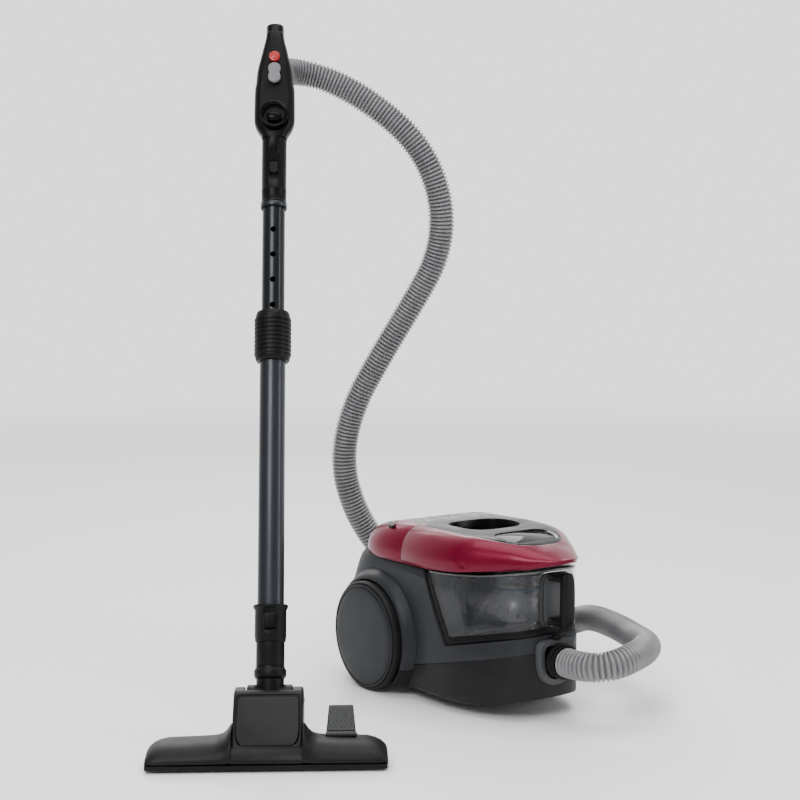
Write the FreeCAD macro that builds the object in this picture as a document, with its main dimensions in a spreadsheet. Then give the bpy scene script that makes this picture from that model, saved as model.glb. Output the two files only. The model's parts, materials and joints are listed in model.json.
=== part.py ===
"""Canister vacuum cleaner with a telescopic wand, a floor head and a corrugated hose.

Millimetres, +Z up.  The canister's front faces -Y and the floor is z = 0.
Three local frames are used, each placed by one Placement at the end of a sub-part:
  CAN   the rear axle's middle on the floor, front towards -Y
  WAND  the neck's pivot, +Z up along the leaning wand, front towards -Y
  HEAD  the middle of the floor head's front edge on the floor, front towards -Y
"""
import FreeCAD, Part
import math
import os
import Sketcher
from FreeCAD import Placement, Rotation, Vector

DIMS = {
    # place of the whole object and of its three frames
    "can_x": 212.17, "can_y": 76.92,
    "neck_x": -371.0, "neck_y": -131.0, "neck_z": 88.0,
    "heading": -32.8, "lean": 19.0,
    "head_back": 120.0,
    # canister casing
    "wall": 3.0, "gap": 0.3,
    "body_half": 104.0, "body_rear": 140.0, "corner": 26.0,
    "shoulder_y": -150.0, "cheek_y": -215.0, "cheek_half": 84.0,
    "nose_y": -262.0, "nose_half": 46.0,
    "floor_gap": 16.0, "caster_roof": 40.0, "chin_z": 50.0,
    "seam_rear": 40.0, "seam_mid": 46.0, "seam_front": 97.0, "seam_mid_y": -50.0,
    "deck_z": 194.0, "bay_top_y": -96.0, "bay_foot_y": -147.0, "bay_foot_z": 93.0,
    "bay_lip_z": 119.0,
    "cover_half": 108.0, "cover_top": 247.0, "cover_split": -50.0,
    "crown_z": 254.0, "tip_y": -300.0, "tip_z": 226.0,
    # wheels
    "axle_y": 12.0, "axle_z": 80.0, "wheel_rad": 80.0, "wheel_in": 109.0, "wheel_out": 133.0,
    "axle_rad": 6.0, "fit": 0.05,
    "caster_y": -158.0, "caster_rad": 17.0, "caster_half": 9.0, "caster_trail": 8.0,
    # inlet and hose
    "inlet_z": 85.0, "hose_rad": 20.0, "cuff_rad": 24.0, "duct_rad": 20.0, "riser_y": -240.0,
    "riser_rad": 11.0,
    "flange_half": 30.0, "flange_deep": 5.0,
    # wand
    "lower_rad": 17.5, "upper_rad": 15.8, "tube_wall": 1.3,
    "coupling_low": 45.0, "coupling_top": 93.0, "coupling_rad": 20.2,
    "collar_low": 424.5, "collar_top": 494.5, "collar_rad": 25.5,
    "sleeve_low": 645.6, "sleeve_top": 751.4,
    "exit_at": 866.0, "exit_out": 46.0,
    # floor head
    "head_half": 150.0, "head_depth": 72.0, "hub_half": 46.0, "hub_top": 80.0,
    "hinge_y": 110.363, "hinge_z": 60.013, "barrel_rad": 20.0, "slot_half": 31.0,
}

doc = FreeCAD.newDocument("canister_vacuum")
sheet = doc.addObject("Spreadsheet::Sheet", "Dims")
for row, (alias, size) in enumerate(DIMS.items(), start=1):
    sheet.set("A%d" % row, alias)
    sheet.set("B%d" % row, str(size))
    sheet.setAlias("B%d" % row, alias)
doc.recompute()

NODES = []
X_AXIS = Rotation(Vector(0, 1, 0), 90)
Y_AXIS = Rotation(Vector(1, 0, 0), -90)
Z_AXIS = Rotation()
SIDE_VIEW = Rotation(Vector(1, 1, 1), 120)


def num(text):
    """The value of an expression over the sheet."""
    value = sheet.evalExpression(str(text).replace("Dims.", ""))
    return float(value)


def d(alias):
    return float(sheet.get(alias))


def frame(x, y, z, turn=0.0, lean=0.0):
    rotation = Rotation(Vector(0, 0, 1), turn) * Rotation(Vector(1, 0, 0), -lean)
    return Placement(Vector(x, y, z), rotation)


AHEAD = Vector(math.sin(math.radians(d("heading"))), -math.cos(math.radians(d("heading"))), 0)
CAN = frame(d("can_x"), d("can_y"), 0)
WAND = frame(d("can_x") + d("neck_x"), d("can_y") + d("neck_y"), d("neck_z"), d("heading"), d("lean"))
HEAD = frame(
    d("can_x") + d("neck_x") + d("head_back") * AHEAD.x,
    d("can_y") + d("neck_y") + d("head_back") * AHEAD.y,
    0, d("heading"))


def at(base, x, y, z, rotation=Z_AXIS):
    return base.multiply(Placement(Vector(num(x), num(y), num(z)), rotation))


def keep(item, label, base=None):
    """Name a finished sub-part and put it in its frame."""
    if item.TypeId in ("Part::Box", "Part::Cylinder"):
        whole = doc.addObject("Part::Refine", "whole")
        whole.Source = item
        item = whole
    if base is not None:
        item.Placement = base
    item.Label = label
    NODES.append(item)
    return item


def bind(item, **sizes):
    for prop, text in sizes.items():
        item.setExpression(prop, str(text))
    return item


def box(x0, x1, y0, y1, z0, z1):
    """A box between six coordinates, each an expression."""
    item = doc.addObject("Part::Box", "block")
    bind(item, Length="(%s) - (%s)" % (x1, x0), Width="(%s) - (%s)" % (y1, y0),
        Height="(%s) - (%s)" % (z1, z0))
    for axis, text in zip("xyz", (x0, y0, z0)):
        item.setExpression("Placement.Base." + axis, str(text))
    return item


def rod(radius, length, x, y, z, rotation=Z_AXIS):
    """A cylinder that starts at x, y, z and runs along its rotated Z axis."""
    item = doc.addObject("Part::Cylinder", "rod")
    item.Placement = Placement(Vector(0, 0, 0), rotation)
    bind(item, Radius=radius, Height=length)
    for axis, text in zip("xyz", (x, y, z)):
        item.setExpression("Placement.Base." + axis, str(text))
    return item


def cut(base, *tools):
    for tool in tools:
        item = doc.addObject("Part::Cut", "cut")
        item.Base = base
        item.Tool = tool
        base = item
    return base


def fuse(*parts):
    item = doc.addObject("Part::MultiFuse", "joined")
    item.Shapes = list(parts)
    return item


def both(*parts):
    item = doc.addObject("Part::MultiCommon", "shared")
    item.Shapes = list(parts)
    return item


def close_outline(sketch, points):
    """A closed polygon whose corners are tied to the sheet."""
    values = [(num(x), num(y)) for x, y in points]
    count = len(points)
    for index in range(count):
        ends = values[index], values[(index + 1) % count]
        start, end = [Vector(x, y, 0) for x, y in ends]
        sketch.addGeometry(Part.LineSegment(start, end), False)
    for index in range(count):
        sketch.addConstraint(Sketcher.Constraint("Coincident", index, 2, (index + 1) % count, 1))
    for index, (corner, texts) in enumerate(zip(values, points)):
        for kind, axis_line, value, text in (
                ("DistanceX", -2, corner[0], texts[0]), ("DistanceY", -1, corner[1], texts[1])):
            if abs(value) < 1e-9:
                sketch.addConstraint(Sketcher.Constraint("PointOnObject", index, 1, axis_line))
                continue
            made = sketch.addConstraint(Sketcher.Constraint(kind, -1, 1, index, 1, value))
            sketch.setExpression("Constraints[%d]" % made, str(text))


def outline(points, rotation=Z_AXIS):
    sketch = doc.addObject("Sketcher::SketchObject", "outline")
    sketch.Placement = Placement(Vector(0, 0, 0), rotation)
    close_outline(sketch, points)
    return sketch


def plan_slab(points, low, high):
    """A plan outline pulled up from one height to another."""
    item = doc.addObject("Part::Extrusion", "slab")
    item.Base = outline(points)
    item.DirMode = "Custom"
    item.Dir = Vector(0, 0, 1)
    item.Solid = True
    bind(item, LengthFwd=high, LengthRev="-(%s)" % low)
    return item


def side_slab(points, half):
    """A side outline, y against z, pulled both ways across X."""
    item = doc.addObject("Part::Extrusion", "side")
    item.Base = outline(points, SIDE_VIEW)
    item.DirMode = "Custom"
    item.Dir = Vector(1, 0, 0)
    item.Solid = True
    bind(item, LengthFwd=half, LengthRev=half)
    return item


def turned(points):
    """A ring profile, radius against height, revolved about Z as a PartDesign body."""
    body = doc.addObject("PartDesign::Body", "turned")
    planes = {f.Role: f for f in body.Origin.OriginFeatures}
    sketch = body.newObject("Sketcher::SketchObject", "profile")
    sketch.AttachmentSupport = [(planes["XZ_Plane"], "")]
    sketch.MapMode = "FlatFace"
    close_outline(sketch, points)
    spin = body.newObject("PartDesign::Revolution", "spin")
    spin.Profile = sketch
    spin.ReferenceAxis = (sketch, ["V_Axis"])
    spin.Angle = 360
    body.Tip = spin
    return body


def pipe(inner, outer, low, high):
    return turned([(inner, low), (outer, low), (outer, high), (inner, high)])


def disc(radius, low, high):
    return turned([("0", low), (radius, low), (radius, high), ("0", high)])


def placed(item, x, y, z, rotation=Z_AXIS):
    item.Placement = at(Placement(), x, y, z, rotation)
    return item


def mirrored_points(half):
    """A symmetric plan outline from the points of its +X half."""
    return half + [("-(%s)" % x, y) for x, y in reversed(half)]


# ---------------------------------------------------------------- canister casing

def casing_plan(inset="0"):
    """The casing's outline seen from above, as a slab that the side outlines are cut from."""
    half = [
        ("Dims.body_half - Dims.corner - %s" % inset, "Dims.body_rear - %s" % inset),
        ("Dims.body_half - %s" % inset, "Dims.body_rear - Dims.corner - %s" % inset),
        ("Dims.body_half - %s" % inset, "Dims.shoulder_y"),
        ("Dims.cheek_half - %s" % inset, "Dims.cheek_y"),
        ("Dims.nose_half - %s" % inset, "Dims.nose_y + %s" % inset)]
    return plan_slab(mirrored_points(half), "0", "260")


def make_lower_body():
    outer = side_slab([
        ("Dims.body_rear", "Dims.floor_gap + 8"), ("Dims.body_rear - 12", "Dims.floor_gap"),
        ("-104", "Dims.floor_gap"), ("-120", "Dims.caster_roof"),
        ("-200", "Dims.caster_roof"), ("Dims.nose_y", "Dims.chin_z"),
        ("Dims.nose_y", "Dims.seam_front"), ("Dims.seam_mid_y", "Dims.seam_mid"),
        ("Dims.body_rear", "Dims.seam_rear")], "Dims.body_half")
    inner = side_slab([
        ("Dims.body_rear - Dims.wall", "Dims.floor_gap + 9"),
        ("Dims.body_rear - 13", "Dims.floor_gap + Dims.wall"),
        ("-102", "Dims.floor_gap + Dims.wall"), ("-118", "Dims.caster_roof + Dims.wall"),
        ("-200", "Dims.caster_roof + Dims.wall"), ("Dims.nose_y + Dims.wall", "Dims.chin_z + Dims.wall"),
        ("Dims.nose_y + Dims.wall", "Dims.seam_front + 20"),
        ("Dims.body_rear - Dims.wall", "Dims.seam_rear + 20")], "Dims.body_half")
    shell = cut(both(casing_plan(), outer), both(casing_plan(inset="Dims.wall"), inner))
    mouth = rod("Dims.duct_rad + 1.5", "20", "0", "Dims.nose_y - 6", "Dims.inlet_z", Y_AXIS)
    pin_hole = rod("4.1", "10", "0", "Dims.caster_y", "Dims.caster_roof - 2")
    keep(cut(shell, mouth, pin_hole), "lower_body", CAN)


def make_upper_body():
    outer = side_slab([
        ("Dims.body_rear", "Dims.seam_rear"), ("Dims.body_rear", "92"), ("120", "140"), ("103", "180"),
        ("94", "Dims.deck_z"), ("Dims.bay_top_y", "Dims.deck_z"), ("Dims.bay_foot_y", "Dims.bay_foot_z"),
        ("Dims.nose_y", "Dims.bay_lip_z"), ("Dims.nose_y", "Dims.seam_front"),
        ("Dims.seam_mid_y", "Dims.seam_mid")], "Dims.body_half")
    inner = side_slab([
        ("Dims.body_rear - Dims.wall", "10"), ("Dims.body_rear - Dims.wall", "91"), ("117.5", "139"),
        ("100.5", "178.6"), ("92.5", "Dims.deck_z - Dims.wall"),
        ("Dims.bay_top_y + 3.4", "Dims.deck_z - Dims.wall"),
        ("Dims.bay_foot_y + 3.4", "Dims.bay_foot_z - Dims.wall"),
        ("Dims.nose_y + Dims.wall", "Dims.bay_lip_z - Dims.wall"), ("Dims.nose_y + Dims.wall", "10")],
        "Dims.body_half")
    shell = cut(both(casing_plan(), outer), both(casing_plan(inset="Dims.wall"), inner))
    bulkhead_hole = rod("26", "30", "-34", "-130", "150", Y_AXIS)
    riser_hole = rod("Dims.riser_rad", "30", "0", "Dims.riser_y", "95")
    mouth = rod("Dims.duct_rad + 1.5", "20", "0", "Dims.nose_y - 6", "Dims.inlet_z", Y_AXIS)
    grille_hole = box("-34", "34", "Dims.body_rear - 5", "Dims.body_rear + 5", "52", "84")
    cord_hole = rod("7", "20", "62", "Dims.body_rear - 10", "64", Y_AXIS)
    wells = [
        rod("Dims.axle_rad", "20", x, "Dims.axle_y", "Dims.axle_z", X_AXIS)
        for x in ("Dims.body_half - 8", "-Dims.body_half - 12")]
    keep(cut(shell, bulkhead_hole, riser_hole, mouth, grille_hole, cord_hole, *wells), "upper_body", CAN)


def cover_plan(inset="0"):
    half = [
        ("62 - %s" % inset, "98 - %s" % inset), ("98 - %s" % inset, "72 - %s" % inset),
        ("Dims.cover_half - %s" % inset, "40"), ("Dims.cover_half - %s" % inset, "Dims.shoulder_y"),
        ("91 - %s" % inset, "-224"), ("58 - %s" % inset, "-275"),
        ("20 - %s" % inset, "Dims.tip_y + %s" % inset)]
    return plan_slab(mirrored_points(half), "150", "270")


def make_rear_top_cover():
    split = "Dims.cover_split + Dims.gap"
    outer = side_slab([
        ("98", "Dims.deck_z"), ("96", "216"), ("80", "230"), ("40", "240"), ("0", "Dims.cover_top"),
        (split, "Dims.cover_top + 3"), (split, "Dims.deck_z")], "120")
    inner = side_slab([
        ("95", "150"), ("93", "215"), ("79", "227"), ("40", "237"), ("0", "Dims.cover_top - 3"),
        ("Dims.cover_split + 4", "Dims.cover_top"), ("Dims.cover_split + 4", "150")], "120")
    shell = cut(both(cover_plan(), outer), both(cover_plan("Dims.wall"), inner))
    deck = box("-70", "70", "-45", "-3", "Dims.cover_top - 1", "Dims.cover_top + 9")
    openings = [
        box(x0, x1, "-34", "-15", "Dims.cover_top - 9", "Dims.cover_top")
        for x0, x1 in (("-49", "-1"), ("1", "49"))]
    keep(cut(shell, deck, *openings), "rear_top_cover", CAN)


def make_deck_panel():
    plate = box("-70", "70", "-45", "-3", "Dims.cover_top - 1", "Dims.cover_top + 1.6")
    holes = [box(x0, x1, "-31.3", "-16.7", "Dims.cover_top - 4", "Dims.cover_top + 6")
             for x0, x1 in (("-47.3", "-2.7"), ("2.7", "47.3"))]
    keep(cut(plate, *holes), "deck_panel", CAN)


def make_deck_button(label, x):
    """A flat oval key with a skirt that hangs under the deck."""
    cap = fuse(
        box("-15", "15", "-7", "7", "0", "6"),
        rod("7", "6", "-15", "0", "0"),
        rod("7", "6", "15", "0", "0"))
    keep(cap, label, at(CAN, x, "-24", "Dims.cover_top - 1.4"))


def make_lid():
    rear = "Dims.cover_split - Dims.gap"
    outer = side_slab([
        (rear, "Dims.deck_z + 0.5"), ("-96", "Dims.deck_z + 0.5"), ("-200", "202.5"), ("-262", "212"),
        ("-297", "221.5"), ("Dims.tip_y", "Dims.tip_z"), ("-297", "231"), ("-265", "242"),
        ("-235", "249"), ("-175", "Dims.crown_z"), ("-111", "Dims.crown_z - 1"),
        (rear, "Dims.cover_top + 3")],
        "120")
    inner = side_slab([
        ("Dims.cover_split - 4", "150"), ("-96", "150"), ("-200", "150"), ("-262", "180"), ("-290", "222"),
        ("-290", "230"), ("-262", "240"), ("-234", "246"), ("-175", "Dims.crown_z - 3"),
        ("-111", "Dims.crown_z - 4"), ("Dims.cover_split - 4", "Dims.cover_top")], "120")
    shell = cut(both(cover_plan(), outer), both(cover_plan("Dims.wall"), inner))
    well = box("-50", "50", "-150", "-64", "210", "270")
    window = box("-46", "46", "-232", "-176", "Dims.crown_z - 9.5", "Dims.crown_z + 9")
    keep(cut(shell, well, window), "lid_cover", CAN)


def make_handle_well():
    tub = box("-50", "50", "-150", "-64", "214", "Dims.crown_z - 4")
    hollow = box("-47", "47", "-147", "-67", "217", "Dims.crown_z + 4")
    notch = box("-18.3", "18.3", "-152", "-140", "222", "238")
    keep(cut(tub, hollow, notch), "handle_well", CAN)


def make_release_button():
    cap = box("-18", "18", "-154", "-143", "222.3", "237.7")
    keep(cap, "bin_release_button", CAN)


def make_lid_window():
    pane = side_slab([
        ("-232", "246.1"), ("-176", "250.4"), ("-176", "253.9"), ("-232", "249.6")], "46")
    keep(pane, "lid_window", CAN)


# ---------------------------------------------------------------- dust bin

def bin_plan(inset="0"):
    half = [
        ("100 - %s" % inset, "-90"), ("100 - %s" % inset, "Dims.shoulder_y"),
        ("Dims.cheek_half - 2 - %s" % inset, "Dims.cheek_y"),
        ("Dims.nose_half - %s" % inset, "Dims.nose_y + 1 + %s" % inset)]
    return plan_slab(mirrored_points(half), "60", "260")


def make_bin_base():
    outer = both(bin_plan(), side_slab([
        ("Dims.bay_foot_y + 5", "Dims.bay_foot_z + 11"), ("Dims.bay_foot_y - 0.9", "Dims.bay_foot_z + 1"),
        ("Dims.nose_y", "Dims.bay_lip_z + 0.6"), ("Dims.nose_y", "Dims.bay_lip_z + 10.6")], "110"))
    inner = both(bin_plan("2.5"), side_slab([
        ("Dims.bay_foot_y - 2", "Dims.bay_foot_z + 20"), ("Dims.bay_foot_y - 4", "Dims.bay_foot_z + 4.5"),
        ("Dims.nose_y", "Dims.bay_lip_z + 3.1"), ("Dims.nose_y", "Dims.bay_lip_z + 20")], "110"))
    keep(cut(outer, inner, rod("Dims.riser_rad", "30", "0", "Dims.riser_y", "105")), "bin_base", CAN)


def make_bin_container():
    outer = both(bin_plan(), side_slab([
        ("Dims.bay_top_y - 2.9", "Dims.deck_z - 4"), ("Dims.bay_foot_y + 4.9", "Dims.bay_foot_z + 11.1"),
        ("Dims.nose_y", "Dims.bay_lip_z + 10.7"), ("Dims.nose_y", "206"), ("-200", "196")], "110"))
    inner = both(bin_plan("2.5"), side_slab([
        ("Dims.bay_top_y - 6.2", "260"), ("Dims.bay_top_y - 6.2", "Dims.deck_z - 4"),
        ("Dims.bay_foot_y - 10.7", "80"), ("Dims.nose_y", "80"), ("Dims.nose_y", "260")], "110"))
    keep(cut(outer, inner), "bin_container", CAN)


def make_bin_top():
    """The flat plate that closes the bin, with the port that the filter hangs from."""
    plate = both(bin_plan(), side_slab([
        ("Dims.bay_top_y - 2.9", "Dims.deck_z - 4"), ("-200", "196"), ("Dims.nose_y", "206"),
        ("Dims.nose_y", "209"), ("-200", "199"), ("Dims.bay_top_y - 1.4", "Dims.deck_z - 1")], "110"))
    port = rod("22", "60", "0", "-182", "170")
    keep(cut(plate, port), "bin_top_plate", CAN)


def make_cyclone():
    keep(turned([
        ("36", "0"), ("44", "0"), ("40", "8"), ("36", "12"), ("36", "54"), ("25", "54"), ("25", "51"),
        ("33", "51"),
        ("33", "6"), ("36", "4")]), "cyclone", at(CAN, "0", "-182", "138.3"))
    keep(pipe("20", "24", "0", "52"), "mesh_filter", at(CAN, "0", "-182", "141"))


def make_bin_turbine():
    hub = disc("6", "0", "8")
    keep(fuse(hub, *[turned_blade(step) for step in range(6)]), "bin_turbine", at(CAN, "0", "-216", "118.4"))


def turned_blade(step):
    item = doc.addObject("Part::Box", "blade")
    bind(item, Length="11", Width="2", Height="6")
    turn = Rotation(Vector(0, 0, 1), 60 * step)
    item.Placement = Placement(turn.multVec(Vector(5, -1, 1)), turn)
    return item


def make_bin_handle():
    arms = [
        box("-10", "10", "Dims.nose_y - 22", "Dims.nose_y", z0, z1)
        for z0, z1 in (("134", "145"), ("193", "204"))]
    bar = box("-10", "10", "Dims.nose_y - 34", "Dims.nose_y - 20", "134", "204")
    plate = box("-26", "26", "Dims.nose_y", "Dims.nose_y + 1", "131", "205")
    keep(fuse(bar, plate, *arms), "bin_handle", CAN)


# ---------------------------------------------------------------- inside the canister

def make_motor():
    keep(turned([
        ("0", "0"), ("52", "0"), ("52", "88"), ("49", "88"), ("49", "48"), ("31", "48"), ("31", "3"),
        ("0", "3")]),
        "motor_housing", at(CAN, "-34", "72", "118", Rotation(Vector(1, 0, 0), 90)))
    keep(turned([
        ("0", "5"), ("30", "5"), ("30", "46"), ("6", "46"), ("6", "52"), ("44", "52"), ("20", "78"),
        ("0", "78")]),
        "motor_rotor", at(CAN, "-34", "72", "118", Rotation(Vector(1, 0, 0), 90)))


def make_inner_chassis():
    """The plate inside the tub: a saddle for the motor and two posts for the cord reel."""
    feet = [box("-34 + %s - 8" % x, "-34 + %s + 8" % x, y0, y1, "Dims.floor_gap + Dims.wall", "82")
            for x in ("-26", "26") for y0, y1 in (("0", "14"), ("46", "60"))]
    saddle = rod("52", "120", "-34", "-20", "118", Y_AXIS)
    plate = box("-70", "84", "0", "60", "Dims.floor_gap + Dims.wall", "24")
    posts = [box("80", "84", "24", "56", "20", "124"), box("36", "40", "28", "52", "20", "124")]
    spindle = rod("5", "44", "40", "40", "112", X_AXIS)
    keep(fuse(cut(fuse(plate, *feet), saddle), spindle, *posts), "inner_chassis", CAN)


def make_filters():
    keep(box("-74", "10", "-66", "-52", "104", "186"), "premotor_filter", CAN)
    keep(box("-40", "40", "118", "134", "48", "88"), "exhaust_filter", CAN)
    rim = cut(
        box("-38", "38", "Dims.body_rear", "Dims.body_rear + 4", "47", "89"),
        box("-33", "33", "Dims.body_rear - 6", "Dims.body_rear + 6", "53", "83"))
    keep(fuse(rim, *[box("-34", "34", "Dims.body_rear", "Dims.body_rear + 3", "%d" % z, "%d + 3" % z)
                     for z in range(56, 82, 6)]), "exhaust_grille", CAN)


def make_cord_reel():
    keep(turned([
        ("5.1", "0"), ("46", "0"), ("46", "2"), ("22", "2"), ("22", "30"), ("46", "30"), ("46", "32"),
        ("5.1", "32")]), "cord_reel", at(CAN, "46", "40", "112", X_AXIS))
    keep(turned([
        ("4", "-6"), ("7", "-6"), ("7", "3"), ("10", "3"), ("9", "8"), ("4", "8")]),
        "cord_outlet", at(CAN, "62", "Dims.body_rear", "64", Y_AXIS))


def make_inlet():
    face = "Dims.nose_y - Dims.flange_deep"
    plate = fuse(
        box("-Dims.flange_half", "Dims.flange_half", face, "Dims.nose_y", "48", "Dims.inlet_z"),
        rod("Dims.flange_half", "Dims.flange_deep", "0", face, "Dims.inlet_z", Y_AXIS))
    bore = rod("Dims.cuff_rad - 3.5", "40", "0", "Dims.nose_y - 20", "Dims.inlet_z", Y_AXIS)
    keep(cut(plate, bore), "inlet_flange", CAN)
    duct = turned([
        ("Dims.duct_rad - 1.5", "0"), ("Dims.duct_rad + 1.5", "0"), ("Dims.duct_rad + 1.5", "40"),
        ("0", "40"), ("0", "37"), ("Dims.duct_rad - 1.5", "37")])
    placed(duct, "0", "Dims.nose_y", "Dims.inlet_z", Y_AXIS)
    keep(cut(duct, rod("Dims.riser_rad", "30", "0", "Dims.riser_y", "95")), "inlet_duct", CAN)


def make_hose_cuff():
    """The bayonet cuff: a spigot in the duct and three grip rings outside the flange."""
    keep(turned([
        ("13.5", "-26"), ("Dims.cuff_rad", "-26"), ("Dims.cuff_rad", "-20"), ("Dims.cuff_rad - 1.5", "-19"),
        ("Dims.cuff_rad - 1.5", "-16"), ("Dims.cuff_rad", "-15"), ("Dims.cuff_rad", "-11"),
        ("Dims.cuff_rad - 1.5", "-10"), ("Dims.cuff_rad - 1.5", "-5.3"),
        ("18.1", "-Dims.flange_deep - Dims.gap"),
        ("18.1", "16"), ("13.5", "16")]),
        "hose_cuff", at(CAN, "0", "Dims.nose_y", "Dims.inlet_z", Y_AXIS))


def make_inlet_latch():
    tab = box("-6", "6", "Dims.nose_y - 9.3", "Dims.nose_y - 5.3", "112", "120")
    tooth = box("-4", "4", "Dims.nose_y - 7.3", "Dims.nose_y - 5.3", "109.5", "113")
    keep(fuse(tab, tooth), "inlet_latch", CAN)


# ---------------------------------------------------------------- wheels

def make_wheel(label, side):
    """A drive wheel: rim disc with a soft tread, on the axle stub of its side."""
    turn = X_AXIS if side > 0 else Rotation(Vector(0, 1, 0), -90)
    place = at(CAN, "0", "Dims.axle_y", "Dims.axle_z", turn)
    keep(turned([
        ("Dims.axle_rad + Dims.fit", "Dims.wheel_in"), ("16", "Dims.wheel_in"), ("16", "Dims.wheel_in + 6"),
        ("70", "Dims.wheel_in + 6"), ("70", "Dims.wheel_in"), ("75", "Dims.wheel_in"),
        ("75", "Dims.wheel_out - 3"), ("70", "Dims.wheel_out"), ("62", "Dims.wheel_out - 3"),
        ("56", "Dims.wheel_out - 3"), ("0", "Dims.wheel_out + 1.5"), ("0", "Dims.wheel_out - 7.7"),
        ("Dims.axle_rad + Dims.fit", "Dims.wheel_out - 7.7")]), label + "_wheel", place)
    keep(turned([
        ("75", "Dims.wheel_in + 1"), ("Dims.wheel_rad", "Dims.wheel_in + 3"),
        ("Dims.wheel_rad", "Dims.wheel_out - 7"),
        ("78", "Dims.wheel_out - 4"), ("75", "Dims.wheel_out - 3.5")]), label + "_tyre", place)


def make_axles():
    """One stub per side, with a flange inside the casing wall."""
    stubs = []
    for angle in (90, -90):
        stub = turned([
            ("0", "Dims.body_half - 14"), ("12", "Dims.body_half - 14"), ("12", "Dims.body_half - Dims.wall"),
            ("Dims.axle_rad", "Dims.body_half - Dims.wall"), ("Dims.axle_rad", "Dims.wheel_out - 8"),
            ("0", "Dims.wheel_out - 8")])
        stubs.append(placed(stub, "0", "Dims.axle_y", "Dims.axle_z", Rotation(Vector(0, 1, 0), angle)))
    keep(fuse(*stubs), "wheel_axles", CAN)


def make_caster():
    fork = cut(
        fuse(
            rod("4", "13", "0", "Dims.caster_y", "Dims.caster_roof - 3"),
            rod("15", "3", "0", "Dims.caster_y", "Dims.caster_roof - 3.4"),
            box("-13", "13", "Dims.caster_y - 5", "Dims.caster_y + Dims.caster_trail + 6", "12",
                "Dims.caster_roof - 2")),
        box("-Dims.caster_half - 0.6", "Dims.caster_half + 0.6", "Dims.caster_y - 30", "Dims.caster_y + 40",
            "-5", "Dims.caster_roof - 4.5"))
    axle = rod("2", "24", "-12", "Dims.caster_y + Dims.caster_trail", "Dims.caster_rad", X_AXIS)
    keep(fuse(fork, axle), "caster_fork", CAN)
    keep(pipe("2.05", "Dims.caster_rad", "-Dims.caster_half", "Dims.caster_half"),
         "caster_wheel", at(CAN, "0", "Dims.caster_y + Dims.caster_trail", "Dims.caster_rad", X_AXIS))


# ---------------------------------------------------------------- wand

def make_neck():
    keep(pipe("15", "18.5", "14.3", "Dims.coupling_low"), "neck_tube", WAND)
    shell = turned([
        ("15", "Dims.coupling_low"), ("Dims.coupling_rad", "Dims.coupling_low"),
        ("Dims.coupling_rad", "Dims.coupling_top - 7"), ("23", "Dims.coupling_top - 3"),
        ("23", "Dims.coupling_top"), ("Dims.lower_rad", "Dims.coupling_top"),
        ("Dims.lower_rad", "Dims.coupling_low + 10"), ("15", "Dims.coupling_low + 10")])
    slot = box("-9.3", "9.3", "-30", "-18", "60.7", "91")
    keep(cut(shell, slot), "wand_coupling", WAND)


def make_coupling_latch():
    pad = cut(
        box("-9", "9", "-24.5", "-18.3", "61", "84"),
        rod("Dims.lower_rad + 0.6", "60", "0", "0", "50"))
    keep(pad, "coupling_latch", WAND)


def make_tubes():
    keep(pipe("Dims.lower_rad - Dims.tube_wall", "Dims.lower_rad", "Dims.coupling_low + 10",
        "Dims.collar_top - 22"),
         "lower_tube", WAND)
    tube = pipe("Dims.upper_rad - Dims.tube_wall", "Dims.upper_rad", "285", "Dims.sleeve_low + 40")
    dimples = [
        rod("4", "6", "0", "-Dims.upper_rad - 4.2", "502 + %s" % (36.5 * step), Y_AXIS) for step in range(4)]
    keep(cut(tube, *dimples), "upper_tube", WAND)


def make_collar():
    """The ribbed release collar at the top of the lower tube."""
    low, high = "Dims.collar_low", "Dims.collar_top"
    rings = [("Dims.lower_rad + 0.1", low), ("22", low), ("24", low + " + 5")]
    for step in range(9):
        base = "%s + %s" % (low, 8 + 6 * step)
        rings += [("Dims.collar_rad - 1.2", base), ("Dims.collar_rad", base + " + 1"),
            ("Dims.collar_rad", base + " + 4"),
                  ("Dims.collar_rad - 1.2", base + " + 5")]
    rings += [("22", high), ("Dims.upper_rad + 0.4", high), ("Dims.upper_rad + 0.4", high + " - 14"),
              ("Dims.lower_rad + 0.1", high + " - 14")]
    keep(turned(rings), "release_collar", WAND)


def make_handle():
    low, high = "Dims.sleeve_low", "Dims.sleeve_top"
    sleeve = turned([
        ("Dims.upper_rad", low), ("18.2", low), ("18.2", low + " + 10"), ("17.4", low + " + 11"),
        ("17.4", high), ("13", high), ("13", low + " + 40"), ("Dims.upper_rad", low + " + 40")])
    slot = box("-6.3", "6.3", "-20", "-12", "694", "712")
    keep(cut(sleeve, slot), "handle_sleeve", WAND)
    pad = cut(box("-6", "6", "-19.2", "-14.2", "694.3", "711.7"), rod("14.2", "40", "0", "0", "680"))
    keep(pad, "sleeve_latch", WAND)


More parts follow.
